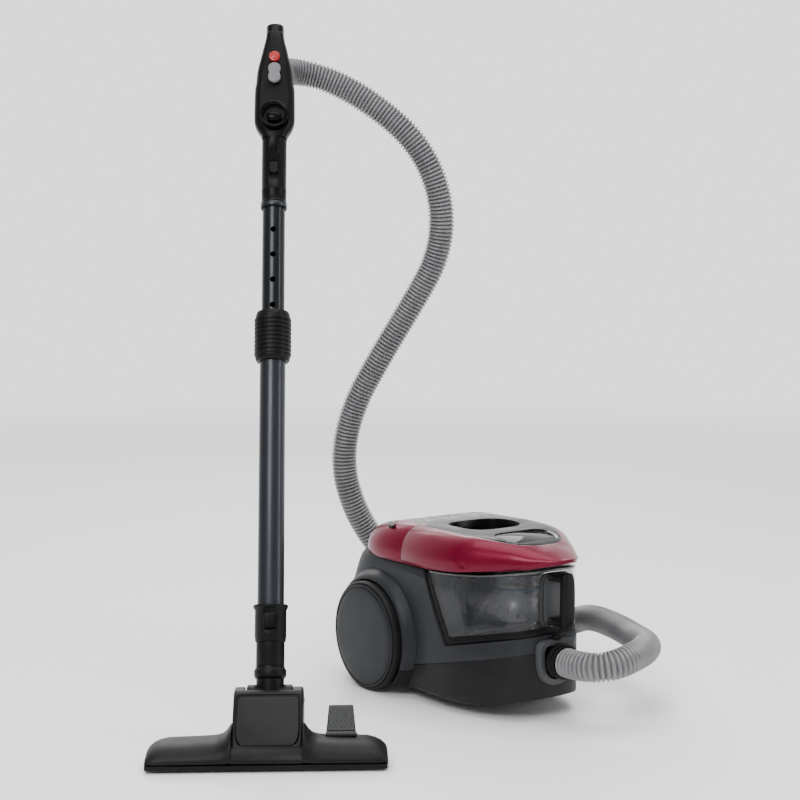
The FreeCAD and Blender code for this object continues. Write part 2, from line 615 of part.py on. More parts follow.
def make_grip():
    """The moulded grip: a wide body behind a gloss front shell."""
    side = [("-17.5", "751.4"), ("17.5", "751.4"), ("21", "790"), ("23", "840"), ("23", "893"),
            ("14", "915"), ("12.5", "927"), ("-9", "927"), ("-14", "905"), ("-17.5", "860")]
    width = [("17.5", "751.4"), ("28.5", "778"), ("28.5", "835"), ("24", "866"), ("15", "905"),
        ("12.5", "927")]
    front = width + [("-(%s)" % x, z) for x, z in reversed(width)]
    face = doc.addObject("Part::Extrusion", "front")
    face.Base = outline(front, Rotation(Vector(1, 0, 0), 90))
    face.DirMode = "Custom"
    face.Dir = Vector(0, 1, 0)
    face.Solid = True
    bind(face, LengthFwd="40", LengthRev="40")
    boss = rod("19", "32", "0", "0", "Dims.exit_at", Rotation(Vector(1, 0, 0), -71))
    body = fuse(both(side_slab(side, "40"), face), boss)
    passage = rod("13", "118", "0", "0", "750")
    outlet = rod("13", "50", "0", "0", "Dims.exit_at", Rotation(Vector(1, 0, 0), -71))
    recess = box("-17", "17", "-30", "-13.7", "760", "914")
    keep(cut(body, passage, outlet, recess), "handle_grip", WAND)


def make_front_shell():
    outer = [("9", "914"), ("14", "890"), ("17", "866"), ("17", "770"), ("9", "760")]
    shape = doc.addObject("Part::Extrusion", "shield")
    shape.Base = outline(outer + [("-(%s)" % x, z) for x, z in reversed(outer)], Rotation(Vector(1, 0,
        0), 90))
    shape.DirMode = "Custom"
    shape.Dir = Vector(0, -1, 0)
    shape.Solid = True
    bind(shape, LengthFwd="20.5", LengthRev="-14")
    red = rod("8", "20", "0", "-30", "871", Y_AXIS)
    keys = [rod("8", "20", "0", "-30", z, Y_AXIS) for z in ("854.5", "837.5")]
    keys.append(box("-5.3", "5.3", "-30", "-10", "837.5", "854.5"))
    slot = box("-11.3", "11.3", "-30", "-16.5", "770.7", "796.3")
    shell = cut(shape, red, *keys)
    keep(cut(shell, slot), "handle_front_shell", WAND)


def make_handle_keys():
    forward = Rotation(Vector(1, 0, 0), 90)
    keep(disc("7.7", "0", "5"), "stop_key", at(WAND, "0", "-17.2", "871", forward))
    lobes = [rod("7.7", "5", "0", z, "0") for z in ("-8.5", "8.5")]
    keep(fuse(box("-5", "5", "-8.5", "8.5", "0", "5"), *lobes),
        "speed_rocker", at(WAND, "0", "-17.2", "846", forward))


def make_relief_slider():
    keep(box("-11", "11", "-19.8", "-16.8", "771", "786"), "relief_slider", WAND)


def make_hose_swivel():
    """The rotating cuff at the back of the grip, in line with the hose."""
    keep(turned([
        ("13", "32.3"), ("21", "32.3"), ("22", "35"), ("22", "43"), ("21", "Dims.exit_out"),
        ("13", "Dims.exit_out")]),
        "hose_swivel", at(WAND, "0", "0", "Dims.exit_at", Rotation(Vector(1, 0, 0), -71)))


HOSE_ROUTE = [
    (-193.135, 144.994, 906.819), (-173.092, 176.096, 906.819), (-138, 188, 914), (-88, 168, 904),
    (-30, 122, 862),
    (24, 84, 802), (58, 74, 722),
    (66, 92, 638), (40, 130, 560), (6, 168, 478), (-24, 206, 392), (-32, 222, 306), (-8, 222, 228),
    (40, 218, 158), (104, 208, 98), (168, 176, 52), (218, 120, 30), (238, 50, 34), (234, -28, 58),
    (212, -100, 86), (204, -170, 84), (182, -236, 82), (150, -290, 88), (108, -328, 94), (66, -350, 96),
    (27, -353, 90), (0, -326, 85), (0, -288.5, 85)]


def hose_path(points):
    """Straight runs joined by tangent arcs, each as large as its runs allow."""
    edges = []
    radii = []
    start = points[0]
    for before, corner, after in zip(points, points[1:], points[2:]):
        come = (corner - before).normalize()
        leave = (after - corner).normalize()
        turn = come.getAngle(leave)
        trim = 0.45 * min((corner - before).Length, (after - corner).Length)
        radius = trim / math.tan(turn / 2)
        radii.append(radius)
        first = corner - come * trim
        last = corner + leave * trim
        inward = (leave - come).normalize()
        middle = corner + inward * (radius / math.cos(turn / 2) - radius)
        edges.append(Part.LineSegment(start, first).toShape())
        edges.append(Part.Arc(first, middle, last).toShape())
        start = last
    edges.append(Part.LineSegment(start, points[-1]).toShape())
    return Part.Wire(edges), radii


def make_hose():
    points = [Vector(*point) for point in HOSE_ROUTE]
    wire, radii = hose_path(points)
    radius = d("hose_rad")
    way = (points[1] - points[0]).normalize()
    ring = Part.Wire([Part.makeCircle(radius, points[0], way)])
    tube = wire.makePipeShell([ring], True, False)
    hose = doc.addObject("Part::Feature", "hose")
    hose.Shape = tube
    keep(hose, "hose", CAN)
    section = math.pi * radius ** 2
    print("hose length %.1f, volume over section %.1f" % (wire.Length, hose.Shape.Volume / section))
    print("hose radii", [round(value) for value in radii])


# ---------------------------------------------------------------- floor head

def make_elbow():
    barrel = rod("Dims.barrel_rad", "60", "-30", "0", "-29.6", X_AXIS)
    neck = turned([("0", "-29.6"), ("18", "-29.6"), ("18", "-2"), ("21", "0"), ("21", "9"),
        ("18.5", "14"), ("0", "14")])
    bore = rod("13", "60", "0", "0", "-29.6")
    pin_hole = rod("3.05", "80", "-40", "0", "-29.6", X_AXIS)
    keep(cut(fuse(barrel, neck), bore, pin_hole), "elbow", WAND)


def head_plan(inset="0"):
    half = [
        ("Dims.head_half - 6 - %s" % inset, inset), ("Dims.head_half - %s" % inset, "6"),
        ("Dims.head_half - %s" % inset, "48"),
        ("Dims.head_half - 22 - %s" % inset, "Dims.head_depth - %s" % inset)]
    return plan_slab(mirrored_points(half), "0", "100")


def make_sole_plate():
    plate = both(head_plan("2"), box("-160", "160", "0", "80", "4", "10"))
    tail = box("-Dims.hub_half", "Dims.hub_half", "60", "128", "4", "10")
    runners = [box(x0, x1, "8", "62", "0", "4") for x0, x1 in (("-140", "-126"), ("126", "140"))]
    slot = box("-118", "118", "26", "40", "-5", "20")
    strips = [box("-120.3", "120.3", y0, y1, "-5", "20") for y0, y1 in (("11.7", "18.3"), ("49.7", "56.3"))]
    pockets = [box(x0, x1, "101", "121", "-5", "20") for x0, x1 in (("-42", "-34"), ("34", "42"))]
    keep(cut(fuse(plate, tail, *runners), slot, *(strips + pockets)), "sole_plate", HEAD)


def make_head_cover():
    wings = both(head_plan(), side_slab([
        ("0", "10"), ("0", "17"), ("8", "26"), ("22", "31"), ("52", "32"), ("66", "28"), ("72", "20"),
        ("72", "10")],
        "150"))
    inner = both(head_plan("2.5"), side_slab([
        ("2.5", "5"), ("2.5", "16"), ("9", "23.5"), ("22", "28.5"), ("51", "29.5"), ("64.5", "26"),
        ("69.5", "19"),
        ("69.5", "5")], "147.5"))
    hub = side_slab([
        ("22", "26"), ("34", "44"), ("70", "76"), ("78", "Dims.hub_top"), ("98", "Dims.hub_top"),
        ("128", "62"),
        ("131", "40"), ("128", "10"), ("30", "10")], "Dims.hub_half")
    hub_inner = side_slab([
        ("27", "5"), ("27", "25"), ("37", "42"), ("71", "72.5"), ("75", "74"),
        ("75", "5")], "Dims.hub_half - 3")
    slot = box("-Dims.slot_half", "Dims.slot_half", "78", "140", "14", "100")
    pin = rod("3", "100", "-50", "Dims.hinge_y", "Dims.hinge_z", X_AXIS)
    seat = side_slab([("34.3", "43.7"), ("70", "76"), ("60", "90"), ("20", "60")], "40")
    pockets = [box(x0, x1, "101", "121", "0", "18") for x0, x1 in (("-42", "-34"), ("34", "42"))]
    pedal_gap = box("71.7", "112.3", "40", "90", "20", "60")
    shell = cut(fuse(wings, hub), inner, hub_inner)
    keep(cut(shell, slot, pin, seat, pedal_gap, *pockets), "head_cover", HEAD)


def make_hub_panel():
    keep(side_slab([("34.3", "43.7"), ("70", "76"), ("68", "78.7"), ("32.3", "46.4")], "40"),
        "hub_panel", HEAD)


def make_hinge_pin():
    keep(disc("3", "-45", "45"), "hinge_pin", at(HEAD, "0", "Dims.hinge_y", "Dims.hinge_z", X_AXIS))


def make_bristles():
    strips = [box("-120", "120", y0, y1, "0.5", "13") for y0, y1 in (("12", "18"), ("50", "56"))]
    bridge = [box(x0, x1, "12", "56", "10.4", "13") for x0, x1 in (("-120", "-114"), ("114", "120"))]
    keep(fuse(*(strips + bridge)), "bristle_strips", HEAD)


def make_pedal():
    plate = side_slab([("46", "33"), ("49", "30"), ("88", "54"), ("86", "60"), ("82", "60")], "19.5")
    barrel = rod("3.5", "39", "-19.5", "48", "33", X_AXIS)
    bore = rod("1.55", "50", "-25", "48", "33", X_AXIS)
    keep(cut(fuse(plate, barrel), bore), "pedal", at(HEAD, "92", "0", "0"))


def make_rollers():
    rollers = []
    for x in ("-38", "38"):
        wheel = turned([
            ("1.55", "-3.6"), ("7.5", "-3.6"), ("8", "-3"), ("8", "3"), ("7.5", "3.6"), ("1.55", "3.6")])
        rollers.append(placed(wheel, x, "111", "8", X_AXIS))
    keep(fuse(*rollers), "head_rollers", HEAD)
    pins = [rod("1.5", "9.4", x, "111", "8", X_AXIS) for x in ("-42.7", "33.3")]
    pedal_pin = rod("1.5", "40.4", "71.8", "48", "33", X_AXIS)
    keep(fuse(pedal_pin, *pins), "head_pins", HEAD)


def make_all():
    make_lower_body()
    make_upper_body()
    make_rear_top_cover()
    make_deck_panel()
    make_deck_button("power_button", "-25")
    make_deck_button("rewind_button", "25")
    make_lid()
    make_handle_well()
    make_release_button()
    make_lid_window()
    make_bin_base()
    make_bin_container()
    make_bin_top()
    make_cyclone()
    make_bin_turbine()
    make_bin_handle()
    make_motor()
    make_inner_chassis()
    make_filters()
    make_cord_reel()
    make_inlet()
    make_hose_cuff()
    make_inlet_latch()
    make_wheel("left", -1)
    make_wheel("right", 1)
    make_axles()
    make_caster()
    make_neck()
    make_coupling_latch()
    make_tubes()
    make_collar()
    make_handle()
    make_grip()
    make_front_shell()
    make_handle_keys()
    make_relief_slider()
    make_hose_swivel()
    make_hose()
    make_elbow()
    make_sole_plate()
    make_head_cover()
    make_hub_panel()
    make_hinge_pin()
    make_bristles()
    make_pedal()
    make_rollers()


make_all()
doc.recompute()
for item in doc.Objects:
    if "Invalid" in item.State or "Error" in item.State:
        raise SystemExit("failed: %s %s" % (item.Name, item.Label))
for item in NODES:
    if item.Shape.isNull() or not item.Shape.isValid() or item.Shape.Volume <= 0:
        raise SystemExit("bad shape: " + item.Label)

os.makedirs("parts", exist_ok=True)
for item in NODES:
    item.Shape.exportStep("parts/%s.step" % item.Label)
    solids = len(item.Shape.Solids)
    print("%-20s %9.1f cm3 x%d" % (item.Label, item.Shape.Volume / 1000, solids))

low, high = Vector(1e9, 1e9, 1e9), Vector(-1e9, -1e9, -1e9)
for item in NODES:
    if item.Label == "hose":
        continue
    bounds = item.Shape.BoundBox
    low = Vector(min(low.x, bounds.XMin), min(low.y, bounds.YMin), min(low.z, bounds.ZMin))
    high = Vector(max(high.x, bounds.XMax), max(high.y, bounds.YMax), max(high.z, bounds.ZMax))
print("box without the hose", low, high)
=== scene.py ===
"""Canister vacuum cleaner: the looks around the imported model.  Local sizes are in millimetres."""
import json
import math
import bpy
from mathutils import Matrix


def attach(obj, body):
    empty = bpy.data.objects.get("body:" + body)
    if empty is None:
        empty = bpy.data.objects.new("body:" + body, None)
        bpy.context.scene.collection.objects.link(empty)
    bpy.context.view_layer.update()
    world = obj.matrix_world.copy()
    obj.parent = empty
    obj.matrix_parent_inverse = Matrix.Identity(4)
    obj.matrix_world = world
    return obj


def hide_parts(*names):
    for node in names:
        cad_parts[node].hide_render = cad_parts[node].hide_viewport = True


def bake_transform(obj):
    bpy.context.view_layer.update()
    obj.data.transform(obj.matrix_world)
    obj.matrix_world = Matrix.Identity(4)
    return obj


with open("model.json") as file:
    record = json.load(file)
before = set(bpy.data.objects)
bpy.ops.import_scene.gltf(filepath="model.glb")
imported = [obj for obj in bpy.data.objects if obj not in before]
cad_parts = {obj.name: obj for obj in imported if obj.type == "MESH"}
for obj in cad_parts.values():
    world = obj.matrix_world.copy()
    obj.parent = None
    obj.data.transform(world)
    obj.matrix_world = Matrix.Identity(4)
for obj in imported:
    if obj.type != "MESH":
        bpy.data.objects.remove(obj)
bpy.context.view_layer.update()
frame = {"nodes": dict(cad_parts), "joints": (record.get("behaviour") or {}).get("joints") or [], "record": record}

from types import SimpleNamespace

import bmesh
import bpy
from mathutils import Matrix, Vector

MM = 0.001
VIEW_TURN = math.radians(35)      # the photographer's side, from +Y towards +X
INLET = (0, 0, 85)                # centre line of the hose socket
CYCLONE = (0, -182, 0)
TURBINE = (0, -216, 0)
BIN_INLET = (0, -240, 0)          # the riser from the inlet duct into the bin
WINDOW_Y, WELL_Y, BUTTON_Y = -204, -107, -24
GRIP_Z = 168                      # middle of the bin's grip
JOINTS = {joint["name"]: joint for joint in frame["joints"]}


def turn_between(x_axis, z_axis):
    """A rotation whose columns are the two given axes and the one square to them."""
    x, z = Vector(x_axis).normalized(), Vector(z_axis).normalized()
    y = z.cross(x)
    return Matrix((x, y, z)).transposed().to_4x4()


# The three local frames: the canister on the floor, the leaning wand and the floor head.
_left, _right = (Vector(JOINTS[name]["pos_m"]) for name in ("left_wheel_spin", "right_wheel_spin"))
AXLE_Y, AXLE_Z = 12.0, 80.0
HINGE_Y = 110.363
_axle = (_left + _right) / 2
SCALE = Matrix.Scale(MM, 4)
CAN = Matrix.Translation((_axle.x, _axle.y - AXLE_Y * MM, 0)) @ SCALE
_side = JOINTS["head_tilt"]["axis"]
_lean = JOINTS["neck_swivel"]["axis"]
WAND = Matrix.Translation(JOINTS["neck_swivel"]["pos_m"]) @ turn_between(_side, _lean) @ SCALE
_tilt = Vector(JOINTS["head_tilt"]["pos_m"])
_head_turn = turn_between(_side, (0, 0, 1))
HEAD = Matrix.Translation(_tilt) @ _head_turn @ Matrix.Translation((0, -HINGE_Y * MM, -_tilt.z)) @ SCALE

ALONG_X = Matrix.Rotation(math.radians(90), 4, "Y")
ALONG_Y = Matrix.Rotation(math.radians(-90), 4, "X")
FORWARD = Matrix.Rotation(math.radians(90), 4, "X")
HOSE_EXIT = Matrix.Translation((0, 0, 866)) @ Matrix.Rotation(math.radians(-71), 4, "X")


def link(made):
    """Put an object into the scene."""
    bpy.context.scene.collection.objects.link(made)


# ---------------------------------------------------------------- camera, light and floor

def make_camera():
    camera = bpy.data.cameras.new("camera")
    camera.lens = 68.85
    camera.sensor_width = 36
    seat = bpy.data.objects.new("camera", camera)
    ahead = Vector((math.sin(VIEW_TURN), math.cos(VIEW_TURN), -math.tan(math.radians(5))))
    seat.location = CAN.translation + Vector((-1.35117, -1.82506, 0.62))
    seat.rotation_euler = ahead.to_track_quat("-Z", "Y").to_euler()
    link(seat)
    bpy.context.scene.camera = seat


def make_light(name, place, size, power, target=(0.0, 0.0, 0.35)):
    lamp = bpy.data.lights.new(name, "AREA")
    lamp.shape = "RECTANGLE"
    lamp.size, lamp.size_y = size
    lamp.energy = power
    holder = bpy.data.objects.new(name, lamp)
    holder.location = place
    holder.rotation_euler = (Vector(target) - Vector(place)).to_track_quat("-Z", "Y").to_euler()
    link(holder)


def add_node(nodes, kind, operation=None, **sockets):
    """A shader node with its unlinked sockets set."""
    made = nodes.new("ShaderNode" + kind)
    if operation:
        made.operation = operation
    for socket, value in sockets.items():
        made.inputs[socket.replace("_", " ")].default_value = value
    return made


def sky_strength(nodes, links, direction):
    """The soft surroundings: bright behind the object, dim in front of it. The floor's painted glow far from the
    object uses the same strength.
    """
    level = add_node(nodes, "VectorMath", "NORMALIZE")
    facing = add_node(nodes, "VectorMath", "DOT_PRODUCT")
    facing.inputs[1].default_value = (math.sin(VIEW_TURN), math.cos(VIEW_TURN), 0)
    spread = add_node(nodes, "MapRange", From_Min=0.1, From_Max=0.8, To_Min=0.45, To_Max=1.8)
    links.new(direction, level.inputs[0])
    links.new(level.outputs["Vector"], facing.inputs[0])
    links.new(facing.outputs["Value"], spread.inputs["Value"])
    return spread.outputs["Result"]


def make_studio():
    mesh = bpy.data.meshes.new("floor")
    reach = 40.0
    mesh.from_pydata([(-reach, -reach, 0), (reach, -reach, 0), (reach, reach, 0), (-reach, reach, 0)], [],
        [(0, 1, 2, 3)])
    floor = bpy.data.objects.new("floor", mesh)
    link(floor)
    mesh.materials.append(pale_floor_with_painted_glow())
    make_light("key_light", (-2.2, -1.6, 2.4), (1.4, 1.4), 75)
    make_light("side_strip", (1.9, -2.0, 1.3), (0.4, 2.0), 26)
    make_light("back_light", (1.2, 2.4, 2.0), (2.0, 1.0), 40)
    make_light("top_light", (0.1, -0.2, 3.0), (2.4, 2.4), 75)
    world = bpy.data.worlds.new("studio")
    world.use_nodes = True
    nodes, links = world.node_tree.nodes, world.node_tree.links
    place = add_node(nodes, "TexCoord")
    links.new(sky_strength(nodes, links, place.outputs["Generated"]),
        nodes["Background"].inputs["Strength"])
    nodes["Background"].inputs["Color"].default_value = (1, 1, 1, 1)
    bpy.context.scene.world = world


# ---------------------------------------------------------------- materials

def new_material(name, **sockets):
    """A Principled material, with what its maker needs to add to it."""
    material = bpy.data.materials.new(name)
    material.use_nodes = True
    shader = material.node_tree.nodes["Principled BSDF"]
    for socket, value in sockets.items():
        shader.inputs[socket.replace("_", " ")].default_value = value
    nodes, links = material.node_tree.nodes, material.node_tree.links
    place = add_node(nodes, "TexCoord")
    return SimpleNamespace(material=material, nodes=nodes, links=links, shader=shader, place=place)


def add_grain(paint, scale, strength, distance=0.0002, detail=4.0):
    """A fine moulded grain: noise into a bump on the shader's normal."""
    noise = add_node(paint.nodes, "TexNoise", Scale=scale, Detail=detail)
    bump = add_node(paint.nodes, "Bump", Strength=strength, Distance=distance)
    paint.links.new(paint.place.outputs["Object"], noise.inputs["Vector"])
    paint.links.new(noise.outputs["Fac"], bump.inputs["Height"])
    paint.links.new(bump.outputs["Normal"], paint.shader.inputs["Normal"])


def vary(paint, socket, low, high, scale):
    """Slow variation of one value or colour over the surface."""
    noise = add_node(paint.nodes, "TexNoise", Scale=scale, Detail=3)
    paint.links.new(paint.place.outputs["Object"], noise.inputs["Vector"])
    ramp = add_node(paint.nodes, "ValToRGB")
    for stop, position, value in zip(ramp.color_ramp.elements, (0.3, 0.7), (low, high)):
        stop.position = position
        stop.color = (value, value, value, 1) if isinstance(value, float) else (*value, 1)
    paint.links.new(noise.outputs["Fac"], ramp.inputs["Fac"])
    paint.links.new(ramp.outputs["Color"], paint.shader.inputs[socket])


def moulded(name, colour, roughness, grain=900, depth=0.25, coat=0.0, shine=0.3):
    """Moulded plastic: a slight tone drift, a fine grain and uneven gloss."""
    paint = new_material(name, Coat_Weight=coat, Coat_Roughness=0.06, Specular_IOR_Level=shine)
    add_grain(paint, grain, depth)
    lighter = tuple(min(1.0, part * 1.14 + 0.002) for part in colour)
    vary(paint, "Base Color", colour, lighter, 14)
    vary(paint, "Roughness", roughness, roughness + 0.09, 40)
    return paint.material


def pearl(name, dark, bright):
    """Pearl lacquer: fine flakes in a deep colour under a clear coat."""
    paint = new_material(name, Metallic=0.3, Coat_Weight=0.16, Coat_Roughness=0.12, Specular_IOR_Level=0.15)
    add_grain(paint, 2600, 0.06)
    flakes = add_node(paint.nodes, "TexVoronoi", Scale=1500)
    paint.links.new(paint.place.outputs["Object"], flakes.inputs["Vector"])
    ramp = add_node(paint.nodes, "ValToRGB")
    ramp.color_ramp.elements[0].color = (*bright, 1)
    ramp.color_ramp.elements[1].color = (*dark, 1)
    ramp.color_ramp.elements[1].position = 0.55
    paint.links.new(flakes.outputs["Distance"], ramp.inputs["Fac"])
    paint.links.new(ramp.outputs["Color"], paint.shader.inputs["Base Color"])
    vary(paint, "Roughness", 0.28, 0.36, 60)
    return paint.material


def tinted_clear(name, colour, alpha, coat, roughness=0.06):
    """A clear moulding with a smoky tint and faint flow marks."""
    paint = new_material(name, Coat_Weight=coat, Coat_Roughness=0.03, Specular_IOR_Level=coat / 2)
    add_grain(paint, 30, 0.03)
    vary(paint, "Base Color", colour, tuple(part * 1.3 for part in colour), 8)
    vary(paint, "Roughness", roughness, roughness + 0.05, 25)
    vary(paint, "Alpha", alpha, alpha + 0.05, 12)
    paint.material.surface_render_method = "BLENDED"
    return paint.material


def metal(name, colour, roughness, metallic=0.9, coat=0.0):
    """Metal or metallic paint, drawn smooth."""
    paint = new_material(name, Metallic=metallic, Coat_Weight=coat, Coat_Roughness=0.06)
    add_grain(paint, 1400, 0.05)
    vary(paint, "Base Color", colour, tuple(part * 1.15 for part in colour), 20)
    vary(paint, "Roughness", roughness, roughness + 0.07, 35)
    return paint.material


def woven(name, colour, scale):
    """Filter media or bristle: a fibrous surface."""
    paint = new_material(name, Sheen_Weight=0.4)
    add_grain(paint, scale, 0.9, distance=0.001, detail=8)
    vary(paint, "Base Color", tuple(part * 0.8 for part in colour), colour, scale / 3)
    vary(paint, "Roughness", 0.85, 0.95, 20)
    return paint.material


def pale_floor_with_painted_glow():
    """A pale floor that, far from the object, turns into painted glow: an emission as bright as the surroundings
    in that direction.
    """
    paint = new_material("pale_floor_with_painted_glow")
    add_grain(paint, 60, 0.02)
    vary(paint, "Base Color", (0.93, 0.93, 0.93), (0.95, 0.95, 0.95), 1.5)
    vary(paint, "Roughness", 0.5, 0.6, 3)
    # Painted glow: far from the object the floor blends into an emission whose strength follows the surroundings,
    # brighter behind the object and dimmer in front.
    length = add_node(paint.nodes, "VectorMath", "LENGTH")
    far = add_node(paint.nodes, "MapRange", From_Min=1.2, From_Max=5.0)
    painted_glow = add_node(paint.nodes, "Emission")
    blend = add_node(paint.nodes, "MixShader")
    paint.links.new(paint.place.outputs["Object"], length.inputs[0])
    paint.links.new(length.outputs["Value"], far.inputs["Value"])
    paint.links.new(far.outputs["Result"], blend.inputs["Fac"])
    painted_glow_strength = sky_strength(paint.nodes, paint.links, paint.place.outputs["Object"])
    paint.links.new(painted_glow_strength, painted_glow.inputs["Strength"])
    paint.links.new(paint.shader.outputs["BSDF"], blend.inputs[1])
    paint.links.new(painted_glow.outputs["Emission"], blend.inputs[2])
    paint.links.new(blend.outputs["Shader"], paint.nodes["Material Output"].inputs["Surface"])
    return paint.material


SMOOTH = {"grain": 300, "depth": 0.02}


def make_paints():
    """Every material by its slot name."""
    recipes = {
        "charcoal_plastic": (moulded, ((0.0135, 0.015, 0.0178), 0.4), {"shine": 0.22}),
        "black_plastic": (moulded, ((0.0022, 0.0022, 0.0025), 0.4), {"shine": 0.16}),
        "dark_charcoal": (moulded, ((0.006, 0.0063, 0.007), 0.42), {"shine": 0.2}),
        "crimson_gloss": (pearl, ((0.11, 0.0, 0.014), (0.3, 0.0006, 0.044)), {}),
        "dark_gloss": (moulded, ((0.0012, 0.0012, 0.0014), 0.2), {**SMOOTH, "coat": 0.03, "shine": 0.06}),
        "deck_gloss": (moulded, ((0.012, 0.013, 0.0135), 0.2), {**SMOOTH, "coat": 0.15, "shine": 0.15}),
        "smoked_window": (tinted_clear, ((0.004, 0.0042, 0.005), 0.72, 0.15), {}),
        "clear_bin": (tinted_clear, ((0.05, 0.053, 0.058), 0.24, 0.9), {}),
        "silver_plastic": (metal, ((0.3, 0.3, 0.32), 0.25, 0.75, 0.5), {}),
        "bright_trim": (metal, ((0.1, 0.1, 0.105), 0.25, 0.8), {}),
        "light_grey_plastic": (moulded, ((0.045, 0.047, 0.05), 0.4), {}),
        "filter_media": (woven, ((0.55, 0.54, 0.5), 700), {}),
        "motor_metal": (metal, ((0.2, 0.2, 0.21), 0.3), {}),
        "inner_plastic": (moulded, ((0.04, 0.04, 0.045), 0.5), {}),
        "handle_plastic": (moulded, ((0.0022, 0.0022, 0.0026), 0.3), {"shine": 0.1}),
        "red_key": (moulded, ((0.3, 0.003, 0.006), 0.25), {"coat": 0.3}),
        "grey_key": (moulded, ((0.018, 0.019, 0.02), 0.4), {}),
        "soft_grey": (moulded, ((0.13, 0.13, 0.14), 0.35), {}),
        "gunmetal_tube": (metal, ((0.02, 0.023, 0.028), 0.34, 0.6, 0.1), {}),
        "dark_steel_tube": (metal, ((0.007, 0.0085, 0.0115), 0.28, 0.6, 0.1), {}),
        "hose_silver": (hose_paint, (), {}),
        "wheel_plastic": (moulded, ((0.011, 0.0122, 0.0145), 0.38), {"shine": 0.2}),
        "soft_tread": (moulded, ((0.004, 0.0042, 0.005), 0.5), {"grain": 500, "depth": 0.4, "shine": 0.2}),
        "head_plastic": (moulded, ((0.0045, 0.0047, 0.0052), 0.42), {"grain": 700, "depth": 0.5,
            "shine": 0.16}),
        "bristle": (woven, ((0.006, 0.006, 0.006), 900), {}),
        "graphite_gloss": (moulded, ((0.006, 0.006, 0.007), 0.36), {"grain": 300, "depth": 0.05,
            "coat": 0.03, "shine": 0.14}),
        "blue_trim": (moulded, ((0.004, 0.05, 0.13), 0.3), {}),
    }
    return {name: maker(name, *values, **options) for name, (maker, values, options) in recipes.items()}


def hose_paint(name):
    paint = new_material(name, Metallic=0.4)
    add_grain(paint, 1200, 0.12)
    vary(paint, "Base Color", (0.17, 0.172, 0.178), (0.22, 0.222, 0.228), 30)
    vary(paint, "Roughness", 0.36, 0.45, 50)
    return paint.material


# ---------------------------------------------------------------- mesh helpers

def to_object(name, mesh, paint, smooth_angle=35):
    mesh.materials.append(PAINTS[paint])
    piece = bpy.data.objects.new(name, mesh)
    link(piece)
    mesh.shade_smooth()
    mesh.set_sharp_from_angle(angle=math.radians(smooth_angle))
    return piece


def build(name, points, faces, matrix, paint, smooth_angle=35):
    """A mesh from local millimetre points, its faces turned outwards."""
    mesh = bpy.data.meshes.new(name)
    mesh.from_pydata([matrix @ Vector(point) for point in points], [], faces)
    mesh.update()
    tidy = bmesh.new()
    tidy.from_mesh(mesh)
    bmesh.ops.remove_doubles(tidy, verts=tidy.verts, dist=1e-6)
    bmesh.ops.recalc_face_normals(tidy, faces=tidy.faces)
    tidy.to_mesh(mesh)
    tidy.free()
    return to_object(name, mesh, paint, smooth_angle)


def loft(name, rings, matrix=CAN, paint="black_plastic", capped=True, looped=False, smooth_angle=35):
    """Quads between rings of equal count; capped closes the two end rings."""
    count = len(rings[0])
    points = [point for ring in rings for point in ring]
    faces = []
    steps = len(rings) if looped else len(rings) - 1
    for row in range(steps):
        first, second = row * count, ((row + 1) % len(rings)) * count
        for column in range(count):
            beside = (column + 1) % count
            faces.append((first + column, first + beside, second + beside, second + column))
    if capped and not looped:
        faces.append(tuple(reversed(range(count))))
        faces.append(tuple(range(len(points) - count, len(points))))
    return build(name, points, faces, matrix, paint, smooth_angle)


def circle(radius, height, count=72):
    return [(radius * math.cos(2 * math.pi * step / count), radius * math.sin(2 * math.pi * step / count),
        height) for step in range(count)]


def lathe(name, profile, matrix, paint="black_plastic", hollow=False, count=72):
    """A profile of radius and height turned about local Z; hollow closes the profile on itself."""
    rings = [circle(max(radius, 0.02), height, count) for radius, height in profile]
    return loft(name, rings, matrix, paint, capped=not hollow, looped=hollow)


def rounded(half_x, half_y, power, count=64):
    """A superellipse outline; a higher power is squarer."""
    points = []
    for step in range(count):
        angle = 2 * math.pi * step / count
        c, s = math.cos(angle), math.sin(angle)
        x = math.copysign(abs(c) ** (2 / power), c) * half_x
        y = math.copysign(abs(s) ** (2 / power), s) * half_y
        points.append((x, y))
    return points


def smooth_line(points, per_span):
    """Catmull-Rom points through a few given ones, of any dimension."""
    last = len(points) - 1
    made = []
    for index in range(last):
        near = [points[min(max(index + shift, 0), last)] for shift in (-1, 0, 1, 2)]
        made += [spline_point(near, step / per_span) for step in range(per_span)]
    return made + [tuple(points[-1])]


def spline_point(near, t):
    weights = ((-t ** 3 + 2 * t ** 2 - t) / 2, (3 * t ** 3 - 5 * t ** 2 + 2) / 2,
        (-3 * t ** 3 + 4 * t ** 2 + t) / 2, (t ** 3 - t ** 2) / 2)
    size = len(near[0])
    return tuple(sum(weight * point[axis] for weight, point in zip(weights, near)) for axis in range(size))


def apply_modifiers(piece):
    """Replace the piece's mesh by its evaluated one."""
    bpy.context.view_layer.update()
    graph = bpy.context.evaluated_depsgraph_get()
    mesh = bpy.data.meshes.new_from_object(piece.evaluated_get(graph))
    piece.modifiers.clear()
    piece.data = mesh


def combine(piece, other, operation):
    """One Boolean step; the other mesh is used up."""
    step = piece.modifiers.new("combine", "BOOLEAN")
    step.operation = operation
    step.object = other
    step.solver = "EXACT"
    apply_modifiers(piece)
    bpy.data.objects.remove(other)
    return piece


def carve(piece, *others):
    for other in others:
        combine(piece, other, "DIFFERENCE")
    return piece


def share(piece, *others):
    for other in others:
        combine(piece, other, "INTERSECT")
    return piece


